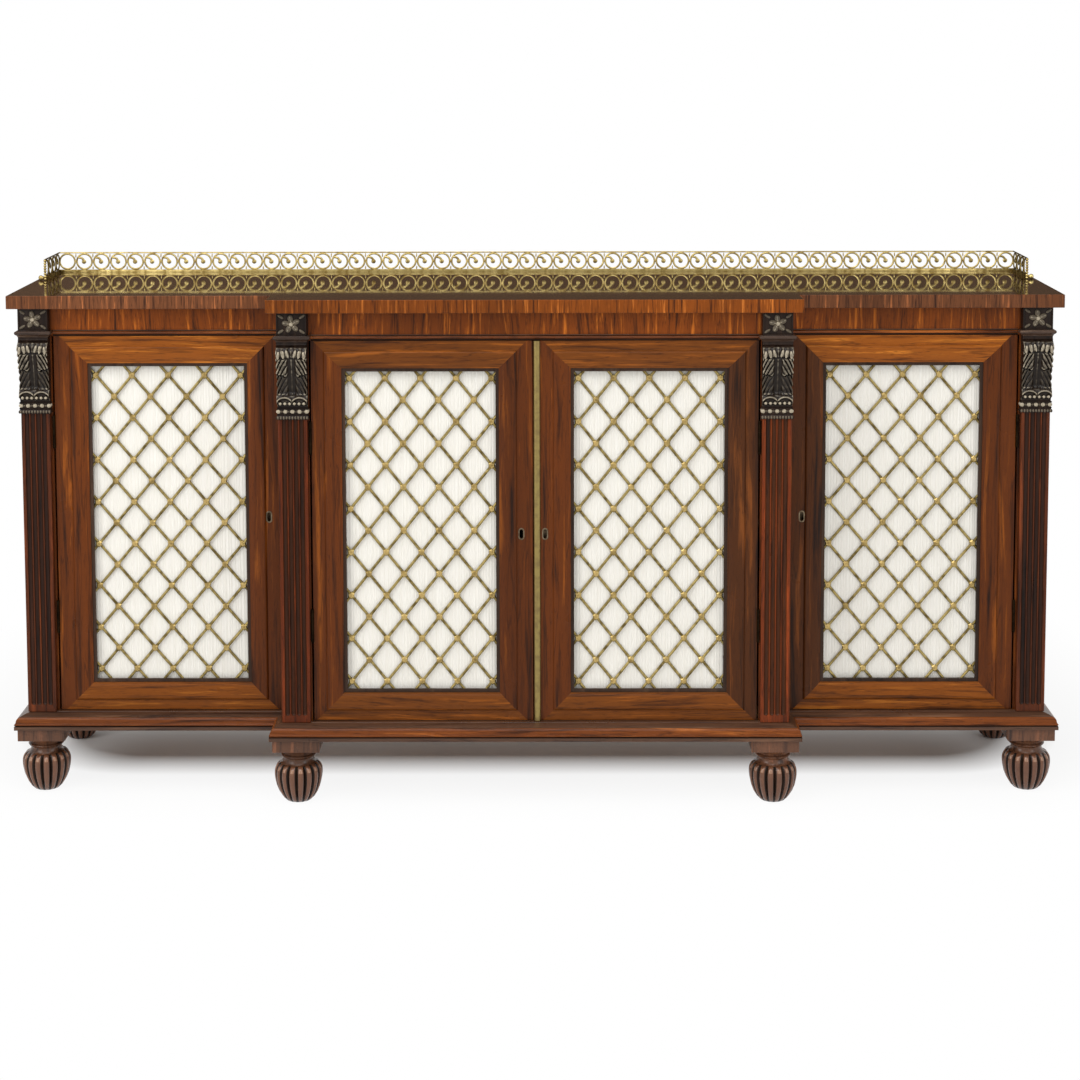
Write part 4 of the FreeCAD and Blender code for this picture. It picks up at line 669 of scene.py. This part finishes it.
def leaf_relief(s, h):
    """How far the carving stands out at s across (-1 to 1) and h up the console."""
    side = abs(s)
    depth = through(CONSOLE_SIDE, h)
    if h > LEAF_END:
        return depth
    if h < ARCHES_END:
        # two arches, each over its pearls
        arch = 11 + 9.5 * math.sqrt(max(0.0, 1 - ((side - 0.5) / 0.5) ** 2))
        ridge = math.exp(-((h - arch) / 2.5) ** 2)
        under = smooth_step(0, 4, arch - h)
        return depth + 3.0 * ridge - 2.6 * under
    # the tips of the upper leaf hang lower near its rib, each a little apart
    waist = 55 + 8 * side + 5 * (1 - frond(side, h))
    upper = h > waist
    tier_top, tier_low = (93, waist) if upper else (waist, ARCHES_END)
    down = min(max((tier_top - h) / (tier_top - tier_low), 0.0), 1.0)
    spread = smooth_step(0.2, 0.38, side) * smooth_step(0.0, 0.12, down)
    valley = math.exp(-((side - 0.14) / 0.1) ** 2)
    # the leaf hollows along its middle, and its edge stands out between the fronds
    relief = (3.8 if upper else 2.6) * spread * frond(side, h) - 1.6 * valley - 2.4
    relief += (3.0 if upper else 2.0) * down ** 2 * smooth_step(0.1, 0.5, side)
    relief -= 2.4 * smooth_step(0.8, 1.0, side) * (1 - frond(side, h))
    # the top of the leaf rolls over in three curls a side, with a dark hollow under them
    if upper:
        for at, wide, low in ((0.3, 0.12, 101), (0.62, 0.13, 102.5), (0.95, 0.12, 99)):
            relief += 5.4 * math.exp(-((side - at) / wide) ** 2 - ((h - low) / 7.0) ** 2)
        relief -= 2.4 * math.exp(-((h - 91.5) / 2.4) ** 2)
    return depth + relief


def make_consoles(name, centre_x, face):
    """Scrolled brackets carved with two tiers of hanging acanthus."""
    mesh = bmesh.new()
    low, half, front = CONSOLE_LOW, CONSOLE_HALF, face - SHAFT_OUT
    for x in (-centre_x, centre_x):
        grid = upright_grid(mesh, (x, face, (low + CONSOLE_HIGH) / 2), half * 2,
                            CONSOLE_HIGH - low, 64, 120)
        capped(mesh, rim_extruded(mesh, grid))
        for corner in grid:
            s, h = (corner.co.x - x) / half, corner.co.z - low
            if ARCHES_END < h < 96:
                # the outline follows the fronds
                notch = 0.08 * abs(s) ** 3 * (1 - frond(abs(s), h))
                corner.co.x = x + (corner.co.x - x) * (1 - notch)
            corner.co.y = front - leaf_relief(s, h)
        relief = set(grid)
        for part in {part for corner in grid for part in corner.link_faces}:
            # the flanks, the foot and the plain band under the cap take the dark ground,
            # which under the cap is painted shadow; above the waist the crests take the
            # painted highlight, below it the dimmer painted shade
            middle = part.calc_center_median()
            h = middle.z - low
            waist = 56 + 8 * abs(middle.x - x) / half
            flank = any(corner not in relief for corner in part.verts)
            part.material_index = (1 if flank or h > 111 or h < 4
                                   else 2 if 27 < h < waist else 0)
        for side in (-1, 1):
            # the rolled tips of the leaf, which catch the light and take the painted
            # highlight of the crests
            for at, wide, turn in ((0.24, 2.4, 0.3), (0.52, 2.9, 0.12), (0.84, 2.7, -0.1)):
                ball(mesh, (x + side * at * half, front - 18.2, low + 101.5 - 5 * at),
                     (wide, 2.4, 7.4), turn=side * turn)
        for i in range(6):
            ball(mesh, (x + (i - 2.5) * 8.4, front - 7.0, low + 9.5), (2.7, 3, 2.7))
    keep(name + "_acanthus_consoles", mesh, "carcase", CARVING,
         [name + "_pilaster_consoles"], sharp=60)


def make_neckings():
    """Row of pearls over a smaller gadrooned bead."""
    mesh = bmesh.new()
    for x, face in PILASTERS:
        front = face - SHAFT_OUT
        stepped_block(mesh, x, face, SHAFT_HALF, SHAFT_OUT, finish=1, levels=[
            (705, 0), (705.2, 2.4), (706.6, 3.4), (709.6, 3.4), (711.2, 2.0), (712.4, 1.2),
            (713.2, 2.2), (714.4, 2.4), (715, 1.2), (723, 1.2), (723.4, 2.4), (725, 2.4)])
        for i in range(9):
            # pearls with a thin reel between each two; the pearls take the painted
            # highlight of the crests, the reels and the smaller beads below the dimmer
            # painted shade
            reel = i % 2
            size = (1.3, 2.0, 2.4) if reel else (4.4, 4.2, 4.0)
            ball(mesh, (x + (i - 4) * 6.3, front - 0.1, 719.2), size,
                 finish=2 if reel else 0)
        for i in range(11):
            ball(mesh, (x + (i - 5) * 5.2, front - 2.2, 708.2), (2.3, 1.9, 2.9), finish=2)
        for side in (-1, 1):
            for y in (front + 5, front + 10.5):
                ball(mesh, (x + side * 26.3, y, 719.2), (2.6, 2.4, 3.6))
    keep("pearled_neckings", mesh, "carcase", CARVING,
         ["pilaster_neckings"], sharp=45)


def make_caps():
    """Small mouldings between the consoles and the rosettes."""
    mesh = bmesh.new()
    for x, face in PILASTERS:
        stepped_block(mesh, x, face, CONSOLE_HALF, CAP_OUT, [
            (845, 0.2), (845.6, 0.6), (847, 1.0), (848.6, 2.2), (849.8, 3.8), (850.2, 4.4),
            (850.8, 4.6), (851.2, 5.2), (852.4, 5.5), (854.2, 5.5), (855.2, 5.1),
            (855.6, 3.4), (856, 3.2)])
    keep("pilaster_cap_mouldings", mesh, "carcase", [CAP],
         ["pilaster_caps"])


def make_rosettes():
    """Square blocks, each with a five-petalled flower and a leaf in every corner."""
    mesh = bmesh.new()
    half, low, high = CONSOLE_HALF, FRIEZE_LOW, TOP_LOW
    middle = (low + high) / 2
    for x, face in PILASTERS:
        front = face - CAP_OUT
        slab(mesh, (x - half, front + 1.5, low), (x + half, face, high), finish=1,
             soften=0.6)
        # a raised rim: two uprights, and two strips between them
        for left, foot, right, head in (
                (-half, low, -24, high), (24, low, half, high),
                (-24, low, 24, low + 2.5), (-24, high - 2.5, 24, high)):
            slab(mesh, (x + left, front, foot), (x + right, front + 3, head), finish=1,
                 soften=0.4)
        for i in range(5):
            angle = math.radians(98 + 72 * i)
            petal = Vector((x + 9.4 * math.cos(angle), front + 0.6,
                            middle + 9.4 * math.sin(angle)))
            # each petal takes the dimmer painted shade, and the vein along it the painted
            # highlight of the crests
            ball(mesh, petal, (7.2, 3.0, 4.9), turn=-angle, finish=2)
            ball(mesh, petal + FRONT * 2.6, (5.4, 0.9, 0.9), turn=-angle)
        ball(mesh, (x, front - 1.0, middle), (4.0, 3.4, 4.0))
        for side_x in (-1, 1):
            for side_z in (-1, 1):
                ball(mesh, (x + side_x * 19, front + 1.0, middle + side_z * 13.5),
                     (6.4, 2.2, 2.6), turn=-math.atan2(side_z * 12, side_x * 18),
                     finish=2)
    keep("carved_rosette_blocks", mesh, "carcase", CARVING,
         ["rosette_blocks"], sharp=50)


# ---------------- feet
# half outline of a foot: (radius, height)
FOOT_PROFILE = [(0, 0), (19, 0), (23, 1.6), (29.6, 8), (35.8, 18), (40.2, 29), (42.8, 41),
                (43.6, 48), (43.7, 53), (43.4, 57), (42.7, 60.6), (41.4, 64), (39.4, 67),
                (36.6, 69.4), (33.2, 70.8), (30.6, 72), (28.8, 75), (27.4, 78.5), (27, 81),
                (28.6, 83), (31.2, 84), (32.4, 86), (31.4, 88.2), (29.4, 89), (29.8, 91),
                (32.6, 94.6), (36.5, 98), (38.5, FOOT_HEIGHT), (0, FOOT_HEIGHT)]


def lobe_phase(point, x, y):
    """Where a point of a foot lies in its lobe: 0 and 1 in the valleys, 0.5 on top."""
    return (math.atan2(point.y - y, point.x - x) / math.tau * LOBES) % 1.0


def make_feet(name, places, node):
    """Melon-shaped lobed bun feet, with turned necks and square blocks."""
    mesh = bmesh.new()
    for x, y in places:
        line = [mesh.verts.new((x + radius, y, z)) for radius, z in FOOT_PROFILE]
        edges = [mesh.edges.new(pair) for pair in zip(line[:-1], line[1:])]
        bmesh.ops.spin(mesh, geom=line + edges, cent=(x, y, 0), axis=(0, 0, 1),
                       angle=math.tau, steps=160, use_merge=True)
        corners = {corner for corner in mesh.verts
                   if (corner.co.x - x) ** 2 + (corner.co.y - y) ** 2 < 60 ** 2}
        for corner in corners:
            out, z = Vector((corner.co.x - x, corner.co.y - y)), corner.co.z
            across = abs(lobe_phase(corner.co, x, y) - 0.5) * 2
            # each lobe swells from the foot and dies away over the shoulder
            swell = smooth_step(2, 14, z) * (1 - smooth_step(66, 72, z))
            if out.length > 1:
                out *= 1 - LOBE_DEPTH * swell * across ** 2 / out.length
                corner.co.x, corner.co.y = x + out.x, y + out.y
        bmesh.ops.remove_doubles(mesh, verts=list(corners), dist=0.01)
        for face in {face for corner in corners if corner.is_valid
                     for face in corner.link_faces}:
            middle = face.calc_center_median()
            off_top = abs(lobe_phase(middle, x, y) - 0.5)
            if middle.z < 71:
                # below the shoulder the lobe tops take a painted highlight, and the grooves
                # the dark ground as painted shade
                painted_light = 60 < middle.z < 67.5 and off_top < 0.2
                face.material_index = 3 if painted_light else 2 if off_top > 0.3 else 1
        half = FOOT_BLOCK_HALF
        slab(mesh, (x - half, y - half, FOOT_HEIGHT), (x + half, y + half, PLINTH_LOW),
             soften=0.8)
    keep(name, mesh, "carcase", [FOOT, LOBE, GROUND, LOBE_HIGHLIGHT], [node],
         sharp=50)


# ---------------- doors
# moulded face of a door: (away from the opening, proud of the front plane)
FRAME_FACE = [(0, -3.0), (2.4, -3.0), (3.2, -2.6), (5.0, -1.4), (7.4, -0.2), (10, 0.7),
              (14, 1.6), (19, 2.4), (24, 2.9), (27.4, 3.1), (29.4, 2.8), (30.8, 2.0),
              (31.6, 0.9), (32.0, 0.1), (33.2, 0.0), (RAIL_WIDTH, 0.0)]
FRAME_PROFILE = FRAME_FACE + [(RAIL_WIDTH, -DOOR_THICKNESS), (8, -DOOR_THICKNESS),
                              (8, -10), (0, -10)]


def key_hole(mesh, x, face, z):
    """Round-ended upright slot that runs right through a stile."""
    outline, radius = [], KEY_HOLE_RADIUS
    for i in range(24):
        angle = math.tau * (i + 0.5) / 24
        rise = KEY_HOLE_RISE if i < 12 else -KEY_HOLE_RISE
        outline.append((x + radius * math.cos(angle), face - 3,
                        z + rise + radius * math.sin(angle)))
    prism(mesh, outline, BACK * (DOOR_THICKNESS + 6))


def bolt_grooves():
    """Grooves for the two flush bolts, with slots behind for their thumb pieces."""
    mesh = bmesh.new()
    foot, head = box_mm("top_flush_bolt")[0].z, box_mm("bottom_flush_bolt")[1].z
    bolt_channel(mesh, foot - 0.4, 850)
    bolt_channel(mesh, 145, head + 0.4)
    for low in (foot + 3.5, head - 23.5):
        slab(mesh, (-22, -177, low), (-16, -160, low + 20))
    return mesh


def make_frame(name, face, key_x, key_z):
    """Mitred frame: raised inner moulding, flat outer band, rebate behind."""
    frame_low, frame_high = box_mm(name + "_frame")
    low, high = box_mm(name + "_slip")
    width, height = high.x - low.x, high.z - low.z
    members = []
    for across, start, wide in (
            (LEFT, (low.x, face, low.z), low.x - frame_low.x),
            (RIGHT, (high.x, face, low.z), frame_high.x - high.x),
            (DOWN, (low.x, face, low.z), RAIL_WIDTH),
            (UP, (low.x, face, high.z), RAIL_WIDTH)):
        upright = across.x != 0
        # the two stiles beside the right centre pilaster are darker
        dark = (name, across.x) in (("right_centre_door", 1), ("right_side_door", -1))
        finish = (2 if dark else 1) if upright else 0
        solids = [bmesh.new()]
        member(solids[0], FRAME_PROFILE, start, UP if upright else RIGHT, across, FRONT,
               height if upright else width, (1, 1), finish=finish)
        if upright and (key_x < low.x) == (across.x < 0):
            slot = bmesh.new()
            key_hole(slot, key_x, face, key_z)
            solids[0] = carved(solids[0], slot)
        if wide > RAIL_WIDTH + 0.1:
            # the rest of a wide stile, outside the mitres
            edges = sorted(start[0] + across.x * reach for reach in (RAIL_WIDTH, wide))
            solids.append(bmesh.new())
            slab(solids[-1], (edges[0], face, frame_low.z),
                 (edges[1], face + DOOR_THICKNESS, frame_high.z), finish=finish)
        if name == "left_centre_door":
            solids = [carved(solid, bolt_grooves()) for solid in solids]
        members += solids
    rail = RAIL if "side" in name else CENTRE_RAIL
    keep(name + "_moulded_frame", joined(members), name,
         [rail, STILE, DARK_STILE], [name + "_frame"])


def stud(mesh, middle):
    """Little cast flower: six petals round a boss."""
    place = Matrix.Translation(middle) @ Matrix.Rotation(math.radians(90), 4, "X")
    ring = bmesh.ops.create_circle(mesh, cap_ends=True, segments=12, radius=7.0,
                                   matrix=place)["verts"]
    for corner in ring[1::2]:
        corner.co = middle.lerp(corner.co, 0.74)
    face = list(set(ring[0].link_faces) & set(ring[5].link_faces))[0]
    for i, (share, rise) in enumerate(((0.72, 1.5), (0.42, 0.1), (0.66, 0.9))):
        face = raised(mesh, face, inner=i > 0)
        centre = face.calc_center_median()
        for corner in face.verts:
            corner.co = centre.lerp(corner.co, share) + FRONT * rise


# a wire of the lattice: (across, outward)
HALF_ROUND = [(-2.5, 0), (-2.3, 0.9), (-1.5, 1.7), (0, 2.0), (1.5, 1.7), (2.3, 0.9),
              (2.5, 0)]


def make_grille(name):
    """Half-round brass wires crossing on the diagonal, with a flower at each crossing."""
    low, high = box_mm(name + "_slip")
    front = box_mm(name + "_grille")[0].y + 2.5
    centre = (low + high) / 2
    half_x, half_z = (high.x - low.x) / 2 - 6, (high.z - low.z) / 2 - 6
    # how far the last studs stay inside that, at the sides and at the ends
    side_margin, end_margin = 7.3, 17.75 if "side" in name else 12.85
    step_x = (half_x - side_margin) / LATTICE_COLUMNS
    step_z = (half_z - end_margin) / LATTICE_ROWS
    wires = bmesh.new()
    length = math.hypot(half_x, half_z) * 2.4
    reach = LATTICE_ROWS + LATTICE_COLUMNS
    for way in (1, -1):
        along = Vector((step_x, 0, way * step_z)).normalized()
        across = Vector((-along.z, 0, along.x))
        layer = front + (2.0 if way > 0 else 4.0)
        for row in range(-reach, reach + 1, 2):
            middle = Vector((centre.x, layer, centre.z + step_z * row))
            member(wires, HALF_ROUND, middle - along * length / 2, along, across, FRONT,
                   length)
    # the wires end in the rebate of the frame
    for plane, normal in (((low.x - 5, 0, 0), LEFT), ((high.x + 5, 0, 0), RIGHT),
                          ((0, 0, low.z - 5), DOWN), ((0, 0, high.z + 5), UP)):
        everything = wires.verts[:] + wires.edges[:] + wires.faces[:]
        capped(wires, bmesh.ops.bisect_plane(wires, geom=everything, plane_co=plane,
                                             plane_no=normal, clear_outer=True)["geom_cut"])
    keep(name + "_lattice_wires", wires, name, [LATTICE_BRASS],
         [name + "_grille"], sharp=50)
    studs = bmesh.new()
    for row in range(-LATTICE_ROWS, LATTICE_ROWS + 1):
        for column in range(-LATTICE_COLUMNS, LATTICE_COLUMNS + 1):
            if (row + column) % 2:
                stud(studs, Vector((centre.x + column * step_x, front + 0.4,
                                    centre.z + row * step_z)))
    keep(name + "_lattice_flowers", studs, name, [STUD_BRASS], sharp=30)


def make_silk(name):
    """Silk gathered into upright pleats on thin wires at top and bottom."""
    low, high = box_mm(name + "_silk")
    width = high.x - low.x
    mesh = bmesh.new()
    upright_grid(mesh, (low + high) / 2, width, high.z - low.z, 330, 12)
    phases = [chance.uniform(-0.35, 0.35) for _ in range(PLEATS + 2)]
    sizes = [chance.uniform(0.75, 1.0) for _ in range(PLEATS + 2)]
    for corner in mesh.verts:
        share = (corner.co.x - low.x) / width * PLEATS
        i = int(share)
        blend = share - i
        phase = phases[i] * (1 - blend) + phases[i + 1] * blend
        size = sizes[i] * (1 - blend) + sizes[i + 1] * blend
        sway = 0.25 * math.sin(corner.co.z / 170.0 + i * 0.9)
        corner.co.y += 0.3 * size * math.sin(math.tau * (share + phase) + sway)
    piece = keep(name + "_pleated_silk", mesh, name, [SILK], [name + "_silk"],
                 sharp=180)


def make_strip():
    """Half-round brass strip that covers the meeting of the centre doors."""
    mesh = bmesh.new()
    low, high = box_mm("meeting_astragal")
    width, rise = high.x - low.x, high.y - low.y
    profile = [(0, 0), (0, 1.0)]
    for i in range(1, 12):
        angle = math.pi * i / 12
        profile.append((width / 2 * (1 - math.cos(angle)),
                        1.0 + (rise - 1.0) * math.sin(angle)))
    profile += [(width, 1.0), (width, 0)]
    member(mesh, profile, (low.x, high.y, low.z), UP, RIGHT, FRONT, high.z - low.z)
    keep("meeting_strip", mesh, "right_centre_door", [STRIP_BRASS],
         ["meeting_astragal"])


# ---------------- gallery
# a rod of the gallery: (in its plane, back)
OVAL = [(1.8, 0), (1.25, 1.05), (0, 1.5), (-1.25, 1.05), (-1.8, 0), (-1.25, -1.05),
        (0, -1.5), (1.25, -1.05)]


def bent_rod(mesh, centre, radius, start, sweep, steps, thin=1.0):
    """Oval rod bent to part of a circle in the plane of the gallery; angles in degrees."""
    angle = math.radians(start)
    out = Vector((math.cos(angle), 0, math.sin(angle)))
    ring = [mesh.verts.new(centre + out * (radius + a * thin) + BACK * b * thin)
            for a, b in OVAL]
    edges = [mesh.edges.new((ring[i - 1], ring[i])) for i in range(len(ring))]
    full = abs(sweep) >= 360
    if not full:
        mesh.faces.new(ring)
    made = bmesh.ops.spin(mesh, geom=ring + edges, cent=centre, axis=FRONT,
                          angle=math.radians(sweep), steps=steps, use_merge=full)
    if not full:
        capped(mesh, made["geom_last"])


def gallery_run(count, pitch):
    """Scrolls between a base band and a top rail, along X from the origin."""
    mesh = bmesh.new()
    middle = 1.5
    for low, high, thick, soften in (
            (0, 1.4, 3.0, 0.3), (1.4, 4.2, 2.2, 0.3), (4.2, 5.6, 2.8, 0.3),
            (GALLERY_HEIGHT - 2.4, GALLERY_HEIGHT, 2.6, 0.8)):
        slab(mesh, (0, middle - thick / 2, low), (count * pitch, middle + thick / 2, high),
             soften=soften)
    for i in range(count):
        centre = Vector((pitch * (i + 0.5), middle, RING_HEIGHT))
        bent_rod(mesh, centre, RING_RADIUS, 0, 360, 28)
        if i:
            # the curl inside the ring, and the joints between it and the last one
            bent_rod(mesh, centre + Vector((-9.6, 0, -1.2)), 8.9, 100, -92, 7, thin=1.2)
            ball(mesh, centre + Vector((-0.9, 0, -0.5)), (4.5, 1.5, 4.4))
            for z, size in ((RING_HEIGHT, (1.7, 1.3, 2.6)), (33.2, (1.3, 1.2, 4.6)),
                            (9.0, (1.5, 1.2, 3.8))):
                ball(mesh, (pitch * i, middle, z), size, steps=1)
    return mesh


def make_gallery():
    """Back run, two returns that end in beaded posts, and a turned knob at each post."""
    mesh = gallery_run(BACK_SCROLLS, GALLERY_HALF * 2 / BACK_SCROLLS)
    bmesh.ops.translate(mesh, verts=mesh.verts, vec=(-GALLERY_HALF, GALLERY_FACE, TOP_HIGH))
    keep("gallery_back_scrolls", mesh, "carcase", [BRASS], ["gallery_back"],
         sharp=45)
    turn = Matrix.Rotation(math.radians(90), 3, "Z")
    front = GALLERY_FACE - GALLERY_RETURN
    for side, sign, x in (("left", -1, -GALLERY_HALF + 3), ("right", 1, GALLERY_HALF)):
        # the returns are painted browner as shade, and the beads of their posts stay bright
        mesh = gallery_run(RETURN_SCROLLS, GALLERY_RETURN / RETURN_SCROLLS)
        bmesh.ops.rotate(mesh, verts=mesh.verts, matrix=turn)
        bmesh.ops.translate(mesh, verts=mesh.verts, vec=(x, front, TOP_HIGH))
        for i in range(8):
            ball(mesh, (sign * (GALLERY_HALF - 3), front - 3, TOP_HIGH + 2.6 + i * 4.97),
                 (2.9, 2.9, 2.6), finish=1)
        keep("gallery_%s_scrolls" % side, mesh, "carcase",
             [RETURN_SHADE_BRASS, BRASS], ["gallery_%s_return" % side], sharp=45)
    mesh = bmesh.new()
    for sign in (-1, 1):
        knob = Vector((sign * (GALLERY_HALF + 5), front - 3, TOP_HIGH + 5))
        ball(mesh, knob + RIGHT * sign * 0.4, (4.5, 4.4, 4.9), steps=3)
        ball(mesh, knob - RIGHT * sign * 3.6, (1.6, 3.4, 3.4))
    keep("gallery_turned_knobs", mesh, "carcase", [BRASS], ["gallery_knobs"],
         sharp=60)


# ---------------- build
make_top()
make_back()
make_plinth()
make_bead()
for group, at, plane, finishes in (
        ("outer", OUTER_X, SIDE_FACE, [SHAFT, FLUTE_SHADE]),
        ("centre", CENTRE_X, CENTRE_FACE, [RED_SHAFT, RED_FLUTE_SHADE])):
    make_shafts(group, at, plane, finishes)
    make_consoles(group, at, plane)
make_neckings()
make_caps()
make_rosettes()
make_feet("front_bun_feet", FRONT_FEET, "front_feet")
make_feet("back_bun_feet", BACK_FEET, "back_feet")
for door, (plane, lock_x, lock_z) in DOORS.items():
    make_frame(door, plane, lock_x, lock_z)
    make_grille(door)
    make_silk(door)
make_strip()
make_gallery()

# finishes of the solids that show as they are
WOODS = {
    "front_stiles": STILE, "frieze_rails": FRIEZE,
    **dict.fromkeys(("left_end_panel", "right_end_panel", "left_partition",
                     "right_partition"), END),
    **dict.fromkeys(("bottom_boards", "left_shelf", "centre_shelf", "right_shelf",
                     "shelf_bearers"), INSIDE_LONG),
}
for label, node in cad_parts.items():
    if node.hide_render:
        continue
    finish = WOODS.get(label, DULL_BRASS)
    if label.endswith("_slip"):
        finish = EBONISED
    elif "hinge" in label:
        # the hinges are painted near black as the shade of the gaps they sit in
        finish = HINGE_SHADE_BRASS
    node.data.materials.clear()
    node.data.materials.append(finish)


# ---------------- stage, light and camera
def seen_plainly(tree):
    """1 for the rays that show a surface to the camera, straight or in a reflection."""
    path = add(tree, "LightPath")
    seen = add(tree, "Math", {0: path.outputs["Is Camera Ray"],
                              1: path.outputs["Is Glossy Ray"]}, operation="MAXIMUM")
    return add(tree, "Math", {0: seen, 1: path.outputs["Is Transmission Ray"]},
               operation="MAXIMUM")


# the floor keeps its shadow under the cabinet and behind it, less of it round the front
# feet, and shows as plain white paper beyond
material, tree, place = new_material("pale_floor")
centred = add(tree, "Mapping", {"Vector": place, "Location": (0, -0.2, 0)})
parts = add(tree, "SeparateXYZ", {"Vector": centred})
aside = add(tree, "Math", {0: parts.outputs[0]}, operation="ABSOLUTE")
past_end = add(tree, "MapRange", {"Value": aside}, spans=(0.75, 1.75, 0.0, 0.9))
behind = add(tree, "Math", {0: parts.outputs[1], 1: 0.3}, operation="MULTIPLY")
before = add(tree, "Math", {0: parts.outputs[1], 1: -1.0}, operation="MULTIPLY")
reach = add(tree, "Math", {0: behind, 1: before}, operation="MAXIMUM")
stretched = add(tree, "CombineXYZ", {"X": past_end, "Y": reach})
distance = add(tree, "VectorMath", {0: stretched}, operation="LENGTH")
fade = add(tree, "ValToRGB", {"Fac": distance.outputs["Value"]},
           stops=[(0.14, "#000000"), (0.25, "#f0f0f0"), (0.5, "#ffffff"), (1.0, "#ffffff")])
cover = add(tree, "Math", {0: fade, 1: seen_plainly(tree)}, operation="MULTIPLY")
paper = add(tree, "BsdfDiffuse", {"Color": (0.9, 0.895, 0.88, 1)})
white = add(tree, "Emission", {"Color": (1, 1, 1, 1), "Strength": 1.0})
mixed = add(tree, "MixShader", {0: cover, 1: paper, 2: white})
add(tree, "OutputMaterial", {"Surface": mixed})
mesh = bmesh.new()
bmesh.ops.create_grid(mesh, x_segments=1, y_segments=1, size=12.0)
floor = linked("studio_floor", mesh_data("studio_floor", mesh))
floor.data.materials.append(material)

# a brown felt card stands behind the cabinet for the polish: only reflections show it
material, tree, _ = new_material("brown_felt_card")
felt = add(tree, "BsdfDiffuse", {"Color": "#5c4b3c"})
add(tree, "OutputMaterial", {"Surface": felt})
mesh = bmesh.new()
upright_grid(mesh, (0, 0.75, 1.66), 3.2, 1.8, 1, 1)
card = linked("felt_card", mesh_data("felt_card", mesh))
card.data.materials.append(material)
card.visible_camera = card.visible_diffuse = card.visible_shadow = False
card.visible_transmission = False

# a white room all round, which the camera sees brighter than it lights
world = bpy.data.worlds.new("studio")
bpy.context.scene.world = world
world.use_nodes = True
tree = world.node_tree
tree.nodes.clear()
dim = add(tree, "Background", {"Color": (1, 1, 1, 1), "Strength": 0.43})
full = add(tree, "Background", {"Color": (1, 1, 1, 1), "Strength": 1.0})
both = add(tree, "MixShader", {0: seen_plainly(tree), 1: dim, 2: full})
add(tree, "OutputWorld", {"Surface": both})


def soft_lamp(name, place, aim, width, height, watts):
    """Rectangular softbox; places and sizes in metres."""
    light = bpy.data.lights.new(name, "AREA")
    light.shape = "RECTANGLE"
    light.size, light.size_y = width, height
    light.energy = watts
    lamp = linked(name, light)
    lamp.location = place
    lamp.rotation_euler = (Vector(aim) - Vector(place)).to_track_quat("-Z", "Y").to_euler()


soft_lamp("overhead_softbox", (-0.5, -1.3, 3.1), (0, -0.1, 0.5), 3.2, 2.0, 63)
soft_lamp("left_softbox", (-2.9, -2.6, 1.9), (0, 0, 0.6), 1.6, 1.8, 34.5)
soft_lamp("right_softbox", (2.9, -2.9, 1.7), (0, 0, 0.6), 1.4, 1.6, 18)

# the lens looks slightly down, and its frame is shifted so that the cabinet is centred
FRAME_PIXELS, FOCAL_PIXELS, AXIS_PIXELS = 1080, 2212, 226.5
SENSOR = 36.0
camera_data = bpy.data.cameras.new("camera")
camera_data.sensor_width = SENSOR
camera_data.lens = SENSOR * FOCAL_PIXELS / FRAME_PIXELS
camera_data.shift_y = (AXIS_PIXELS - FRAME_PIXELS / 2) / FRAME_PIXELS
camera = linked("camera", camera_data)
pitch, yaw, roll = 0.0945, -0.0051, -0.0021
ahead = Vector((math.cos(pitch) * math.sin(yaw), math.cos(pitch) * math.cos(yaw),
                -math.sin(pitch)))
side = Vector((math.cos(yaw), -math.sin(yaw), 0))
over = side.cross(ahead)
turned_side = side * math.cos(roll) + over * math.sin(roll)
turned_over = over * math.cos(roll) - side * math.sin(roll)
camera.matrix_world = Matrix.Translation((0.030, -4.095, 1.419)) @ Matrix(
    (turned_side, turned_over, -ahead)).transposed().to_4x4()
bpy.context.scene.camera = camera
bpy.context.scene.view_settings.view_transform = "Standard"
